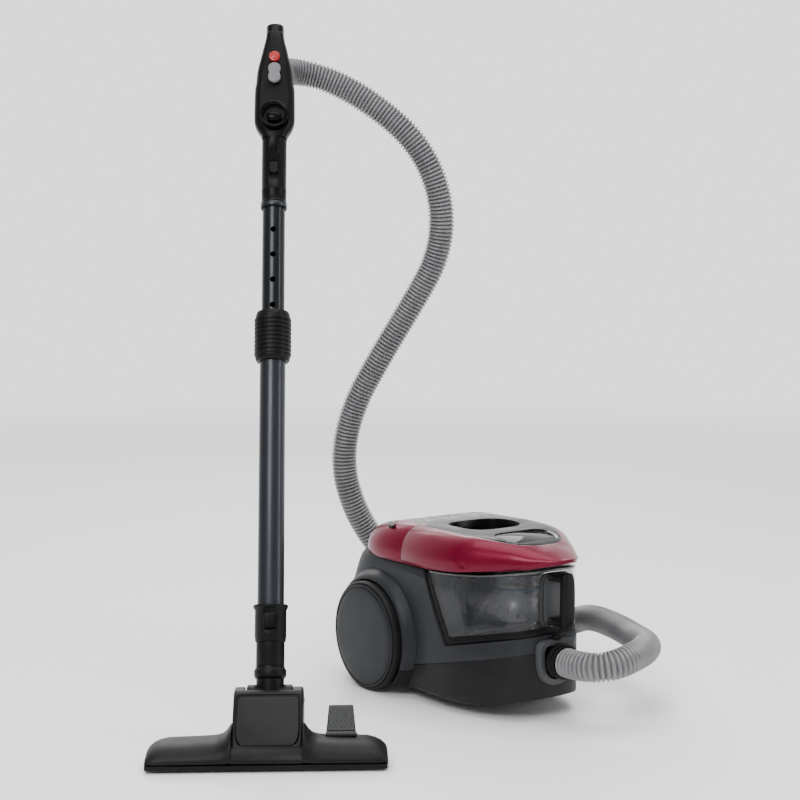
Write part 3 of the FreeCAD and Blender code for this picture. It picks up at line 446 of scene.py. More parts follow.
def soften(piece, width, segments=3, angle=30, smooth_angle=35):
    """Round the sharp edges by a bevel of that width in millimetres."""
    step = piece.modifiers.new("soften", "BEVEL")
    step.width = width * MM
    step.segments = segments
    step.limit_method = "ANGLE"
    step.angle_limit = math.radians(angle)
    step.harden_normals = False
    apply_modifiers(piece)
    piece.data.shade_smooth()
    piece.data.set_sharp_from_angle(angle=math.radians(smooth_angle))
    return piece


def copy_of(piece, name):
    twin = piece.copy()
    twin.data = piece.data.copy()
    twin.name = name
    link(twin)
    return twin


def side_prism(name, outline, half, matrix=CAN, paint="black_plastic"):
    """A side outline of y and z, pulled across X."""
    rings = [[(side * half, y, z) for y, z in outline] for side in (-1, 1)]
    return loft(name, rings, matrix, paint)


def plan_prism(name, outline, low, high, matrix=CAN, paint="black_plastic"):
    """A plan outline of x and y, pulled up from low to high."""
    rings = [[(x, y, z) for x, y in outline] for z in (low, high)]
    return loft(name, rings, matrix, paint)


def slab(name, outline, steps, centre=0.0, matrix=WAND, paint="black_plastic"):
    """An outline of x and z about a height, repeated at each (growth, depth)."""
    rings = [[(x * grow, depth, z * grow + centre) for x, z in outline] for grow, depth in steps]
    return loft(name, rings, matrix, paint)


def block(name, x, y, z, matrix=CAN, paint="black_plastic", bevel=0.0):
    """A box between three pairs of coordinates, with rounded edges."""
    outline = [(x[0], y[0]), (x[1], y[0]), (x[1], y[1]), (x[0], y[1])]
    piece = plan_prism(name, outline, z[0], z[1], matrix, paint)
    if bevel:
        soften(piece, bevel)
    return piece


def join(name, pieces):
    """Several meshes as one piece."""
    whole = bmesh.new()
    materials = []
    for piece in pieces:
        for material in piece.data.materials:
            if material not in materials:
                materials.append(material)
        before = len(whole.faces)
        whole.from_mesh(piece.data)
        whole.faces.ensure_lookup_table()
        slots = [materials.index(material) for material in piece.data.materials]
        for face in whole.faces[before:]:
            face.material_index = slots[min(face.material_index, len(slots) - 1)]
    mesh = bpy.data.meshes.new(name)
    whole.to_mesh(mesh)
    whole.free()
    for material in materials:
        mesh.materials.append(material)
    for piece in pieces:
        bpy.data.objects.remove(piece)
    result = bpy.data.objects.new(name, mesh)
    link(result)
    return result


def belong(piece, body, *nodes, slot="black_plastic"):
    """The piece rides on a body and stands for those CAD nodes."""
    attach(piece, body)
    if nodes:
        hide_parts(*nodes)


# ---------------------------------------------------------------- hose

HOSE_ROUTE = [
    (-193.135, 144.994, 906.819), (-173.092, 176.096, 906.819), (-138, 188, 914), (-88, 168, 904),
    (-30, 122, 862), (24, 84, 802), (58, 74, 722), (66, 92, 638), (40, 130, 560), (6, 168, 478),
    (-24, 206, 392), (-32, 222, 306), (-8, 222, 228), (40, 218, 158), (104, 208, 98), (168, 176, 52),
    (218, 120, 30), (238, 50, 34), (234, -28, 58), (212, -100, 86), (204, -170, 84), (182, -236, 82),
    (150, -290, 88), (108, -328, 94), (66, -350, 96), (27, -353, 90), (0, -326, 85), (0, -288.5, 85)]
HOSE_RADIUS = 20.0
RING_PITCH = 5.75


def hose_line():
    """Evenly spaced points on one NURBS curve through the route."""
    curve = bpy.data.curves.new("hose_line", "CURVE")
    curve.dimensions = "3D"
    curve.resolution_u = 40
    spline = curve.splines.new("NURBS")
    spline.points.add(len(HOSE_ROUTE) - 1)
    for point, place in zip(spline.points, HOSE_ROUTE):
        point.co = (*(CAN @ Vector(place)), 1)
    spline.order_u = 3
    spline.use_endpoint_u = True
    holder = bpy.data.objects.new("hose_line", curve)
    link(holder)
    bpy.context.view_layer.update()
    mesh = bpy.data.meshes.new_from_object(holder)
    line = [vertex.co.copy() for vertex in mesh.vertices]
    bpy.data.objects.remove(holder)
    return line


def respace(line, spacing):
    """Points at an even spacing along a fine polyline, ends included."""
    lengths = [0.0]
    for before, after in zip(line, line[1:]):
        lengths.append(lengths[-1] + (after - before).length)
    steps = round(lengths[-1] / spacing)
    made = []
    index = 0
    for step in range(steps + 1):
        wanted = lengths[-1] * step / steps
        while index < len(line) - 2 and lengths[index + 1] < wanted:
            index += 1
        span = lengths[index + 1] - lengths[index]
        made.append(line[index].lerp(line[index + 1], (wanted - lengths[index]) / span))
    return made, lengths[-1]


def make_hose():
    """The corrugated hose: rounded rings with narrow valleys."""
    per_ring = 6
    line, length = respace(hose_line(), RING_PITCH * MM / per_ring)
    heights = (0.8, 0.87, 0.97, 1.0, 0.985, 0.9)
    around = 40
    rings = []
    across = Vector((0, 0, 1))
    for index, centre in enumerate(line):
        ahead = line[min(index + 1, len(line) - 1)] - line[max(index - 1, 0)]
        ahead.normalize()
        across = (across - ahead * across.dot(ahead)).normalized()
        beside = ahead.cross(across)
        radius = HOSE_RADIUS * MM * heights[index % per_ring]
        ring = []
        for step in range(around):
            angle = 2 * math.pi * step / around
            ring.append(centre + (across * math.cos(angle) + beside * math.sin(angle)) * radius)
        rings.append(ring)
    hose = loft("hose_corrugated", rings, Matrix.Identity(4), "hose_silver", smooth_angle=60)
    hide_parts("hose")
    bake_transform(hose)
    return hose


# ---------------------------------------------------------------- canister

def at(x, y, z, matrix=CAN):
    """A place in a local frame."""
    return matrix @ Matrix.Translation((x, y, z))


def eased(points, reach, steps=6):
    """A closed outline whose corners are eased by curves that start that far from each corner."""
    made = []
    count = len(points)
    for index, place in enumerate(points):
        corner = Vector(place)
        before, after = Vector(points[index - 1]), Vector(points[(index + 1) % count])
        start = corner + (before - corner).normalized() * min(reach, 0.48 * (corner - before).length)
        end = corner + (after - corner).normalized() * min(reach, 0.48 * (after - corner).length)
        for step in range(steps + 1):
            t = step / steps
            made.append(tuple(start.lerp(corner, t).lerp(corner.lerp(end, t), t)))
    return made


def mirrored(half):
    """A half outline and its mirror image in X."""
    return half + [(-x, y) for x, y in reversed(half)]


def along(table, value):
    """A value read from a table of (where, value) pairs, in straight lines."""
    if value <= table[0][0]:
        return table[0][1]
    for (a, low), (b, high) in zip(table, table[1:]):
        if value <= b:
            return low + (high - low) * (value - a) / (b - a)
    return table[-1][1]


MOUTH = [(21.5, -280), (21.5, -240)]
REAR_OF_CASING = [(16, 128), (24, 140), (92, 140), (140, 121), (180, 104), (194, 95)]


def casing(name, inset, paint="charcoal_plastic"):
    """The whole casing as one closed hull with eased corners, drawn in by inset."""
    rings = []
    for level in (16, 18, 22, 30, 60, 92, 115, 140, 160, 180, 190, 194):
        tuck = along([(16, 6.0), (18, 3.0), (22, 1.0), (30, 0.0), (150, 0.0), (190, 2.0), (194, 4.0)],
            level) + inset
        rear = along(REAR_OF_CASING, level) - inset
        plan = mirrored([(70 - tuck, rear), (104 - tuck, rear - 34), (104 - tuck, -144), (82 - tuck, -208),
            (47 - tuck, -262 + tuck)])
        height = min(max(level, 16 + inset), 194 - inset)
        rings.append([(x, y, height) for x, y in eased(plan, 42, 8)])
    return loft(name, rings, CAN, paint)


def make_casing():
    """The lower and upper shells, hollow, with the wheel fenders and, behind each wheel, a black ring: painted
    shade that darkens the gap between wheel and body.
    """
    below = [(150, 0), (-150, 0), (-158, 15), (-205, 19), (-270, 33), (-270, 98.6), (-50, 45.4),
        (150, 39.2)]
    above = [(150, 40.2), (150, 220), (-96, 220), (-96, 194), (-147, 93), (-262, 119), (-280, 122),
        (-280, 100.4), (-50, 46.6)]
    lower = share(casing("lower_shell", 0, "dark_charcoal"), side_prism("cut", below, 120))
    room = share(casing("room", 3), side_prism("cut", [(150, 19), (-102, 19), (-118, 43), (-200, 43),
        (-259, 53), (-259, 120), (150, 80)], 120))
    caster_well = lathe("caster_well", [(31, -5), (31, 40)], at(0, -158, 0))
    mouth = lathe("mouth", MOUTH, at(*INLET) @ ALONG_Y)
    lower = carve(lower, room, caster_well, mouth)
    belong(soften(lower, 0.8, 2), "canister", "lower_body")
    upper = share(casing("upper_shell", 0), side_prism("cut", above, 120))
    room = share(casing("room", 3), side_prism("cut", [(150, 30), (150, 191), (-92.6, 191), (-143.6, 90),
        (-259, 116), (-259, 60), (-50, 30)], 120))
    port = lathe("port", [(26, -150), (26, -96)], at(-34, 0, 150) @ ALONG_Y)
    mouth = lathe("mouth", MOUTH, at(*INLET) @ ALONG_Y)
    grille = block("grille_hole", (-34, 34), (132, 146), (52, 84))
    riser = lathe("riser", [(11, 95), (11, 125)], at(*BIN_INLET))
    upper = carve(upper, room, port, mouth, grille, riser)
    belong(soften(upper, 1.0, 2), "canister", "upper_body", slot="charcoal_plastic")
    for side in (-1, 1):
        turn = at(0, AXLE_Y, AXLE_Z) @ Matrix.Rotation(math.radians(90 * side), 4, "Y")
        label = "right" if side > 0 else "left"
        # A black ring behind the wheel, in the gap between wheel and body: painted shade.
        arch = lathe("wheel_gap_shade_ring_" + label, [(58, 103), (86, 103), (86, 107.5), (84, 108.4), (60, 108.4),
            (58, 107)], turn, hollow=True, count=96)
        ground = ((-150, 150), (-200, 200), (-40, 17.5))
        belong(carve(arch, block("ground_cut", *ground)), "canister")
        for part, paint, cut in (("upper", "charcoal_plastic", (-20, 43.4)),
                ("lower", "black_plastic", (43.8, 240))):
            fender = lathe("wheel_fender_%s_%s" % (part, label),
                [(81.6, 103), (81.6, 118), (82.6, 119.4), (84, 119.6), (86.5, 118.4), (90, 114),
                (93.5, 108), (96, 103)], turn, paint, hollow=True, count=120)
            belong(carve(fender, block("ground_cut", *ground),
                block("rear_cut", (-150, 150), (122, 240), (0, 300)),
                block("seam_cut", (-150, 150), (-200, 240), cut)), "canister", slot=paint)


def cover_height(y):
    """The crown of the cover along its length."""
    return along([(-300, 225.5), (-290, 230), (-265, 237), (-235, 243), (-200, 247.3), (-175, 249.2),
        (-111, 250.6), (-50, 249.6), (0, 247), (40, 240), (80, 229), (97, 216)], y)


def cover_edge(y):
    """The lower edge of the cover along its length."""
    return along([(-300, 222), (-262, 212), (-200, 202.5), (-96, 195), (98, 194.5)], y)


def cover(name, inset, drop=0, paint="crimson_gloss"):
    """The cover as one dome: walls that tuck in at the lower edge and roll over to the crown."""
    plan = eased(mirrored([(46 - inset, 96 - inset), (86 - inset, 70 - inset), (107 - inset, 26),
        (107.5 - inset, -140), (99 - inset, -180), (77 - inset, -213), (46 - inset, -257 + inset),
        (11 - inset / 2, -299.5 + inset)]), 30, 8)
    rings = [[(x * 0.975, y * 0.985, cover_edge(y) - drop) for x, y in plan]]
    for u in (0.0, 0.02, 0.06, 0.12, 0.2, 0.3, 0.43, 0.58, 0.76, 1.0, 1.5, 2.2):
        ring = []
        for x, y in plan:
            centre = Vector((0, min(max(y, -240), 50)))
            edge = Vector((x, y))
            inward = centre - edge
            place = edge + inward * min(0.96, u * 40 / max(inward.length, 1e-6))
            rise = (1 - (1 - min(u, 1.0)) ** 2.3) ** (1 / 2.3)
            low = cover_edge(y) + 7 - drop / 2
            ring.append((place.x, place.y, low + (cover_height(place.y) - inset - low) * rise))
        rings.append(ring)
    return loft(name, rings, CAN, paint)


INLAY = [(72, -50.3), (79, -95), (76, -160), (58, -205), (30, -246)]


def make_cover():
    """The rear cover and the lid, split from one dome, with deck, window and buttons."""
    shell = carve(cover("shell", 0), cover("hollow", 3.2, drop=12))
    rear_half = block("rear_half", (-130, 130), (-49.7, 130), (180, 270), CAN, "crimson_gloss")
    front_half = block("front_half", (-130, 130), (-320, -50.3), (180, 270), CAN, "crimson_gloss")
    rear = share(copy_of(shell, "rear_cover"), rear_half)
    lid = share(shell, front_half)
    lid.name = "bin_lid_rim"
    inlay_plan = eased(mirrored(INLAY), 26, 8)
    inlay_cut = plan_prism("inlay_cut", inlay_plan, 228, 270)
    inlay = share(copy_of(lid, "lid_inlay"), copy_of(inlay_cut, "inlay_tool"))
    carve(lid, inlay_cut)
    well_mouth = [(x, y + WELL_Y) for x, y in rounded(49.5, 42.5, 3.0)]
    well_tool = plan_prism("well_tool", well_mouth, 205, 275)
    window_mouth = [(x, y + WINDOW_Y) for x, y in rounded(45.5, 27.5, 4.0)]
    window_tool = plan_prism("window_tool", window_mouth, 225, 275)
    carve(inlay, well_tool, window_tool)
    inlay.data.materials.clear()
    inlay.data.materials.append(PAINTS["dark_gloss"])
    belong(soften(lid, 0.7, 2), "bin_lid", slot="crimson_gloss")
    belong(soften(inlay, 0.6, 2), "bin_lid", "lid_cover", slot="dark_gloss")
    deck_plan = eased([(-72, -49.7), (-70, -30), (-52, -3), (52, -3), (70, -30), (72, -49.7)], 16, 6)
    deck_tool = plan_prism("deck_tool", deck_plan, 236, 270)
    deck = share(copy_of(rear, "deck_surface"), copy_of(deck_tool, "deck_tool_b"))
    carve(rear, deck_tool)
    slots = [plan_prism("slot", [(x + cx, y + BUTTON_Y) for x, y in rounded(22.6, 7.3, 3)], 225,
        270) for cx in (-25, 25)]
    carve(deck, *slots)
    deck.data.materials.clear()
    deck.data.materials.append(PAINTS["deck_gloss"])
    belong(soften(rear, 0.7, 2), "canister", "rear_top_cover", slot="crimson_gloss")
    belong(soften(deck, 0.4, 2), "canister", "deck_panel", slot="dark_gloss")
    make_well()
    pane = [(x, y + WINDOW_Y) for x, y in rounded(45, 27, 4.0)]
    rings = []
    for lift in (-3.0, -1.2):
        rings.append([(x, y, cover_height(y) + lift) for x, y in pane])
    rings.append([(x * 0.97, (y - WINDOW_Y) * 0.95 + WINDOW_Y, cover_height(y) - 0.5) for x, y in pane])
    belong(loft("lid_pane", rings, CAN, "smoked_window"), "bin_lid", "lid_window", slot="smoked_window")
    trim = [(30, -228), (36, -229), (44, -214), (45, -196), (42, -196), (40.5, -212), (34, -224)]
    rings = [[(x, y, cover_height(y) + lift) for x, y in eased(trim, 2, 3)] for lift in (-2.0, 0.3)]
    belong(loft("pane_trim", rings, CAN, "silver_plastic"), "bin_lid", slot="dark_gloss")
    for name, cx in (("power_button", -25), ("rewind_button", 25)):
        rim = []
        for half_x, half_y, height in ((21.9, 6.9, 243.2), (21.9, 6.9, 247.6), (21.2, 6.2, 248.3),
                (18, 4.0, 248.4), (17.4, 3.6, 247.7)):
            rim.append([(x + cx, y + BUTTON_Y, height) for x, y in rounded(half_x, half_y, 3)])
        key = loft(name + "_key", rim, CAN, "silver_plastic")
        core = [[(x + cx, y + BUTTON_Y, height) for x, y in rounded(half_x, half_y, 3)] for half_x, half_y,
            height in ((17.3, 3.5, 246), (17.3, 3.5, 247.8), (15.5, 2.4, 248.0))]
        face = loft(name + "_face", core, CAN, "dark_gloss")
        belong(join(name + "_cap", [key, face]), name, name, slot="silver_plastic")
    vent = [(-96, -14), (-92, 6), (-76, 22), (-62, 26), (-66, 14), (-80, 2), (-88, -10)]
    rings = [[(x, y, cover_height(y) + lift - 5.0 * max(0.0, (abs(x) - 74) / 22)) for x,
        y in eased(vent, 8, 4)] for lift in (-3.0, 0.35)]
    belong(loft("cover_vent", rings), "canister", slot="crimson_gloss")


def make_well():
    """The carrying recess: a smooth tub with sloped walls under the lid's opening."""
    rings = []
    for grow, height in ((1.0, 214.2), (1.0, 250.5), (0.97, 250.3), (0.95, 246), (0.92, 232), (0.86, 222),
            (0.74, 217.6), (0.4, 217.0)):
        rings.append([(x * grow, y * grow + WELL_Y, min(height,
            cover_height(y * grow + WELL_Y) - 0.8)) for x, y in rounded(49.8, 42.8, 3.0)])
    tub = loft("carry_well", rings, CAN, "dark_gloss")
    notch = block("notch", (-18.3, 18.3), (-153, -138), (222, 238), CAN, "dark_gloss")
    belong(carve(tub, notch), "bin_lid", "handle_well")
    key = block("release_key", (-17.6, 17.6), (-153.5, -142.6), (222.6, 237.4), CAN, "grey_key", bevel=1.6)
    belong(key, "release_button", "bin_release_button", slot="grey_key")


def bin_shape(name, inset, low, high, paint="clear_bin"):
    """The dust bin's plan, pulled up from low to high."""
    plan = eased(mirrored([(100 - inset, -90), (100 - inset, -146), (77 - inset, -207),
        (45 - inset, -261 + inset)]), 34, 8)
    return plan_prism(name, plan, low, high, CAN, paint)


def make_bin():
    """The clear bin, its tray, frame and rim."""
    wall_line = [(-98.9, 190), (-142.1, 104.1), (-262, 129.7), (-262, 206), (-200, 196)]
    shell = share(bin_shape("clear_shell", 0, 80, 230), side_prism("cut", wall_line, 110))
    room = [(-102.2, 260), (-102.2, 190), (-157.7, 80), (-262, 80), (-262, 260)]
    hollow = share(bin_shape("room", 2.5, 70, 240), side_prism("cut", room, 110))
    shell = carve(shell, hollow)
    belong(soften(shell, 0.5, 2), "dust_bin", "bin_container", slot="clear_bin")
    tray_line = [(-142, 104), (-147.9, 94), (-262, 119.6), (-262, 129.6)]
    tray = share(bin_shape("dust_tray", 0.1, 80, 230, "black_plastic"), side_prism("cut", tray_line, 110))
    hollow_line = [(-149, 113), (-151, 97.5), (-262, 122.1), (-262, 139)]
    tray = carve(tray, share(bin_shape("room", 2.5, 70, 240), side_prism("cut", hollow_line, 110)),
        lathe("riser", [(11, 90), (11, 135)], at(*BIN_INLET)))
    belong(soften(tray, 0.5, 2), "dust_bin", "bin_base")
    band = [(-98, 192), (-146.6, 97), (-148.4, 94.6), (-262, 120), (-262, 127), (-157, 103.5), (-152, 106),
        (-110, 192)]
    frame_band = share(bin_shape("bin_frame", -0.8, 80, 230, "black_plastic"), side_prism("cut", band, 110))
    inside = bin_shape("room", 2.4, 70, 240)
    belong(soften(carve(frame_band, inside), 0.4, 2), "dust_bin")
    rim_line = [(-99, 190.3), (-200, 196.3), (-262, 206.3), (-262, 208.8), (-200, 198.8), (-98, 192.8)]
    rim = share(bin_shape("bin_rim", -0.3, 80, 230, "bright_trim"), side_prism("cut", rim_line, 110))
    plate_port = lathe("port", [(22, 180), (22, 220)], at(*CYCLONE), "bright_trim")
    rim = carve(rim, plate_port)
    belong(soften(rim, 0.5, 2), "dust_bin", "bin_top_plate")
    make_bin_inside()
    make_bin_grip()


def make_bin_inside():
    """The cyclone with its ribs and screen, the baffles and the turbine."""
    seat = at(*CYCLONE)
    body = lathe("cyclone_drum", [(33, 141), (53, 133), (55, 134), (50, 140), (42, 149), (37.5, 158),
        (36, 166), (36, 176), (37, 178), (37, 181), (36, 183), (36, 191.5), (25, 191.6), (25, 189),
        (32.5, 189), (32.5, 150)], seat, "bright_trim", hollow=True)
    belong(body, "dust_bin", "cyclone")
    ring = lathe("cyclone_band", [(36.2, 171), (37.4, 171.4), (37.4, 173.6), (36.2, 174)], seat,
        "blue_trim", hollow=True)
    belong(ring, "dust_bin")
    ribs = []
    for step in range(12):
        turn = seat @ Matrix.Rotation(math.radians(30 * step + 8), 4, "Z")
        profile = [(37, 158), (54, 135), (52, 134), (40, 146), (36, 158)]
        rings = [[(radius, side * 0.7, height) for radius, height in profile] for side in (-1, 1)]
        ribs.append(loft("rib", rings, turn, "bright_trim"))
    belong(join("cyclone_ribs", ribs), "dust_bin")
    mesh_rings = []
    for step in range(17):
        mesh_rings.append((24.0 if step % 2 else 23.2, 141 + 3 * step))
    profile = [(20, 141)] + mesh_rings + [(20, 189)]
    belong(lathe("mesh_screen", profile, seat, "motor_metal", hollow=True), "dust_bin", "mesh_filter",
        slot="filter_media")
    guide = [(-148, 106), (-146, 186), (-144, 186), (-146, 106)]
    panels = []
    for side in (-1, 1):
        sheet = [[(side * (44 + x), y, z) for x, y in ((0, -150), (38, -172), (38, -174),
            (0, -152))] for z in (112, 168)]
        panels.append(loft("baffle", sheet, CAN, "dark_gloss"))
    panels.append(side_prism("baffle", guide, 40, CAN, "dark_gloss"))
    belong(join("bin_baffles", panels), "dust_bin")
    blades = []
    hub = lathe("hub", [(1, 118.6), (6, 118.6), (6.5, 121), (5, 126.2), (1, 127)], at(*TURBINE),
        "bright_trim")
    for step in range(6):
        turn = at(*TURBINE) @ Matrix.Rotation(math.radians(60 * step), 4, "Z")
        rings = [[(x, y - 1 + twist, z) for x, y in ((5, 0), (16, 0), (16, 2), (5, 2))] for z,
            twist in ((119.4, 0.0), (122.4, 0.2), (125.3, 0.0))]
        blades.append(loft("blade", rings, turn, "bright_trim"))
    belong(join("turbine_wheel", [hub] + blades), "bin_turbine", "bin_turbine", slot="silver_plastic")


def make_bin_grip():
    """The grip on the bin's front: a framed plate and a rounded bar on two arms."""
    plate = []
    for grow, depth in ((0, -261.0), (0, -264.2), (-1.5, -265.4), (-4.5, -265.4), (-5.0, -264.2)):
        plate.append([(x, depth, z + GRIP_Z) for x, z in rounded(26 + grow, 37 + grow, 6)])
    shell = loft("grip_plate", plate, CAN, "grey_key")
    core = [[(x, depth, z + GRIP_Z) for x, z in rounded(21.2 + grow, 32.2 + grow, 7)] for grow,
        depth in ((0, -262.5), (0, -264.8), (-1.5, -265.2))]
    panel = loft("grip_panel", core, CAN, "light_grey_plastic")
    bar_rings = []
    for level in (131, 133, 138, 145, 158, 180, 193, 200, 205, 206.5):
        t = (level - 131) / 75.5
        swell = 1 - 0.28 * (2 * abs(t - 0.5)) ** 6
        bow = 3.0 * (1 - (2 * t - 1) ** 2)
        bar_rings.append([(x * swell, -288 - bow * 0.5 + y * swell, level) for x,
            y in rounded(10.5, 7.2, 3, 40)])
    bar = loft("grip_bar", bar_rings)
    arms = []
    for low, high in ((133, 144), (194, 205)):
        rings = [[(x * wide, depth, (low + high) / 2 + z) for x,
            z in rounded(10, (high - low) / 2, 4, 40)] for depth,
            wide in ((-263, 1.7), (-268, 1.2), (-274, 1.0), (-286, 1.0))]
        arms.append(loft("arm", rings))
    belong(join("bin_grip", [shell, panel, bar] + arms), "dust_bin", "bin_handle")


def make_inlet():
    """The hose socket: a light arch with a flat top, a dark cavity and the latch."""
    outline = eased([(-30, 113), (30, 113), (30, 78), (24, 56), (0, 48), (-24, 56), (-30, 78)], 13, 6)
    inner = eased([(-22.5, 106), (22.5, 106), (22.5, 80), (17.5, 63), (0, 56.5), (-17.5, 63), (-22.5, 80)],
        10, 6)
    rings = [[(x, -258, z) for x, z in outline], [(x, -268.5, z) for x, z in outline],
        [(x * 0.975, -270, (z - 81) * 0.98 + 81) for x, z in outline], [(x, -270, z) for x, z in inner],
        [(x, -262, z) for x, z in inner], [(x, -258, z) for x, z in inner]]
    arch = loft("inlet_arch", rings, CAN, "light_grey_plastic", looped=True)
    back = [[(x * grow, depth, (z - 81) * grow + 81) for x, z in inner] for depth,
        grow in ((-258, 1.01), (-262.3, 1.01))]
    bore = lathe("bore", [(20.5, -290), (20.5, -230)], at(*INLET) @ ALONG_Y)
    cavity = carve(loft("cavity", back), bore)
    belong(join("inlet_socket", [arch, cavity]), "canister", "inlet_flange", slot="light_grey_plastic")
    tab = slab("latch_tab", rounded(6, 4, 4, 32), ((1.0, -266.2), (1.0, -270.2), (0.85, -271.3)), 116, CAN)
    belong(tab, "inlet_latch", "inlet_latch", slot="grey_key")
    seat = at(0, -262, 85) @ ALONG_Y
    rings = [(13.5, -26), (23.4, -26), (24, -25.2), (24, -20.8), (23, -20), (21.6, -19.2), (21.6, -17.6),
        (23.2, -16.4), (24, -15.6), (24, -11.4), (23, -10.2), (20.4, -9), (20.4, -6.2), (18.1, -5.4),
        (18.1, 16), (13.5, 16)]
    belong(lathe("cuff_rings", rings, seat, hollow=True), "hose_cuff", "hose_cuff")


def make_wheels():
    """The two drive wheels: a dished disc in a soft tread."""
    for name, side in (("left", -1), ("right", 1)):
        turn = at(0, AXLE_Y, AXLE_Z) @ Matrix.Rotation(math.radians(90 * side), 4, "Y")
        face = lathe(name + "_disc", [(6.2, 109), (16, 109), (16, 115), (70, 115), (70, 109.2),
            (75.2, 109.4), (75.2, 129.2), (75.0, 131.0), (73.6, 131.8), (72.4, 131.9), (71.9, 130.6),
            (71.1, 130.4), (70.6, 131.6), (69, 132.2), (60, 132.5), (45, 133.6), (25, 134.2), (0.5, 134.4),
            (0.5, 125.4), (6.2, 125.4)], turn, "wheel_plastic", hollow=True, count=120)
        belong(face, name + "_wheel", name + "_wheel", slot="wheel_plastic")
        tread = lathe(name + "_tread", [(75.3, 110.2), (78.6, 110.4), (79.8, 111.6), (80, 114), (80, 124),
            (79.6, 127), (78.4, 128.8), (76.6, 129.4), (75.3, 129.0)], turn, "soft_tread", hollow=True,
            count=120)
        belong(tread, name + "_wheel", name + "_tyre", slot="soft_tread")


# ---------------------------------------------------------------- wand

def make_wand():
    """The tubes' outer parts: lower tube, collar, coupling and sleeve."""
    belong(lathe("wand_lower", [(16.2, 55.2), (17.5, 55.2), (17.5, 472.3), (16.2, 472.3)], WAND,
        "gunmetal_tube", hollow=True), "canister", "lower_tube", slot="gunmetal_tube")
    profile = [(17.6, 424.7), (21.6, 424.7), (22.8, 426), (23.8, 429.5), (24.2, 431.5)]
    for step in range(9):
        base = 432.5 + 6 * step
        profile += [(24.0, base), (25.2, base + 0.8), (25.5, base + 2.4), (25.2, base + 4.0),
            (24.0, base + 4.8)]
    profile += [(23.8, 488), (23.2, 491), (22.0, 494.3), (16.3, 494.4), (16.3, 480.6), (17.6, 480.4)]
    belong(lathe("collar_ribs", profile, WAND, hollow=True), "release_collar", "release_collar")
    coupling = lathe("coupling_shell", [(15.2, 45.2), (19.6, 45.2), (20.2, 46.4), (20.2, 50), (20.7, 51),
        (20.7, 86), (22.6, 89.4), (23, 90.4), (23, 92.4), (22.6, 93), (17.6, 93), (17.6, 55.4),
        (15.2, 55.2)], WAND, hollow=True)
    carve(coupling, slab("slot_cut", rounded(9.3, 15.8, 4, 48), ((1, -32), (1, -17.9)), 74))
    belong(soften(coupling, 0.3, 2), "canister", "wand_coupling")
    steps = ((1.0, -18.4), (1.0, -22.6), (0.93, -23.8), (0.84, -24.4), (0.6, -24.6))
    key = slab("latch_key", rounded(8.8, 10.3, 5, 48), steps, 71.5, paint="handle_plastic")
    belong(key, "coupling_latch", "coupling_latch", slot="grey_key")
    sleeve = lathe("sleeve_shell", [(15.9, 645.8), (17.6, 645.8), (18.2, 646.6), (18.2, 655.4),
        (17.6, 656.2), (17.4, 657), (17.4, 672), (17.7, 673), (17.4, 674), (17.4, 751), (13.2, 751),
        (13.2, 685.8), (15.9, 685.6)], WAND, "handle_plastic", hollow=True)
    carve(sleeve, slab("slot_cut", rounded(6.3, 9, 5, 40), ((1, -22), (1, -12)), 703))
    belong(sleeve, "handle", "handle_sleeve", slot="handle_plastic")
    band = lathe("sleeve_band", [(18.22, 647.5), (18.5, 648), (18.5, 652.5), (18.22, 653)], WAND,
        "gunmetal_tube", hollow=True)
    belong(band, "handle", slot="handle_plastic")
    steps = ((1.0, -14.3), (1.0, -18.0), (0.85, -19.0))
    key = slab("sleeve_key", rounded(6, 8.6, 5, 40), steps, 703, paint="handle_plastic")
    belong(key, "sleeve_latch", "sleeve_latch")


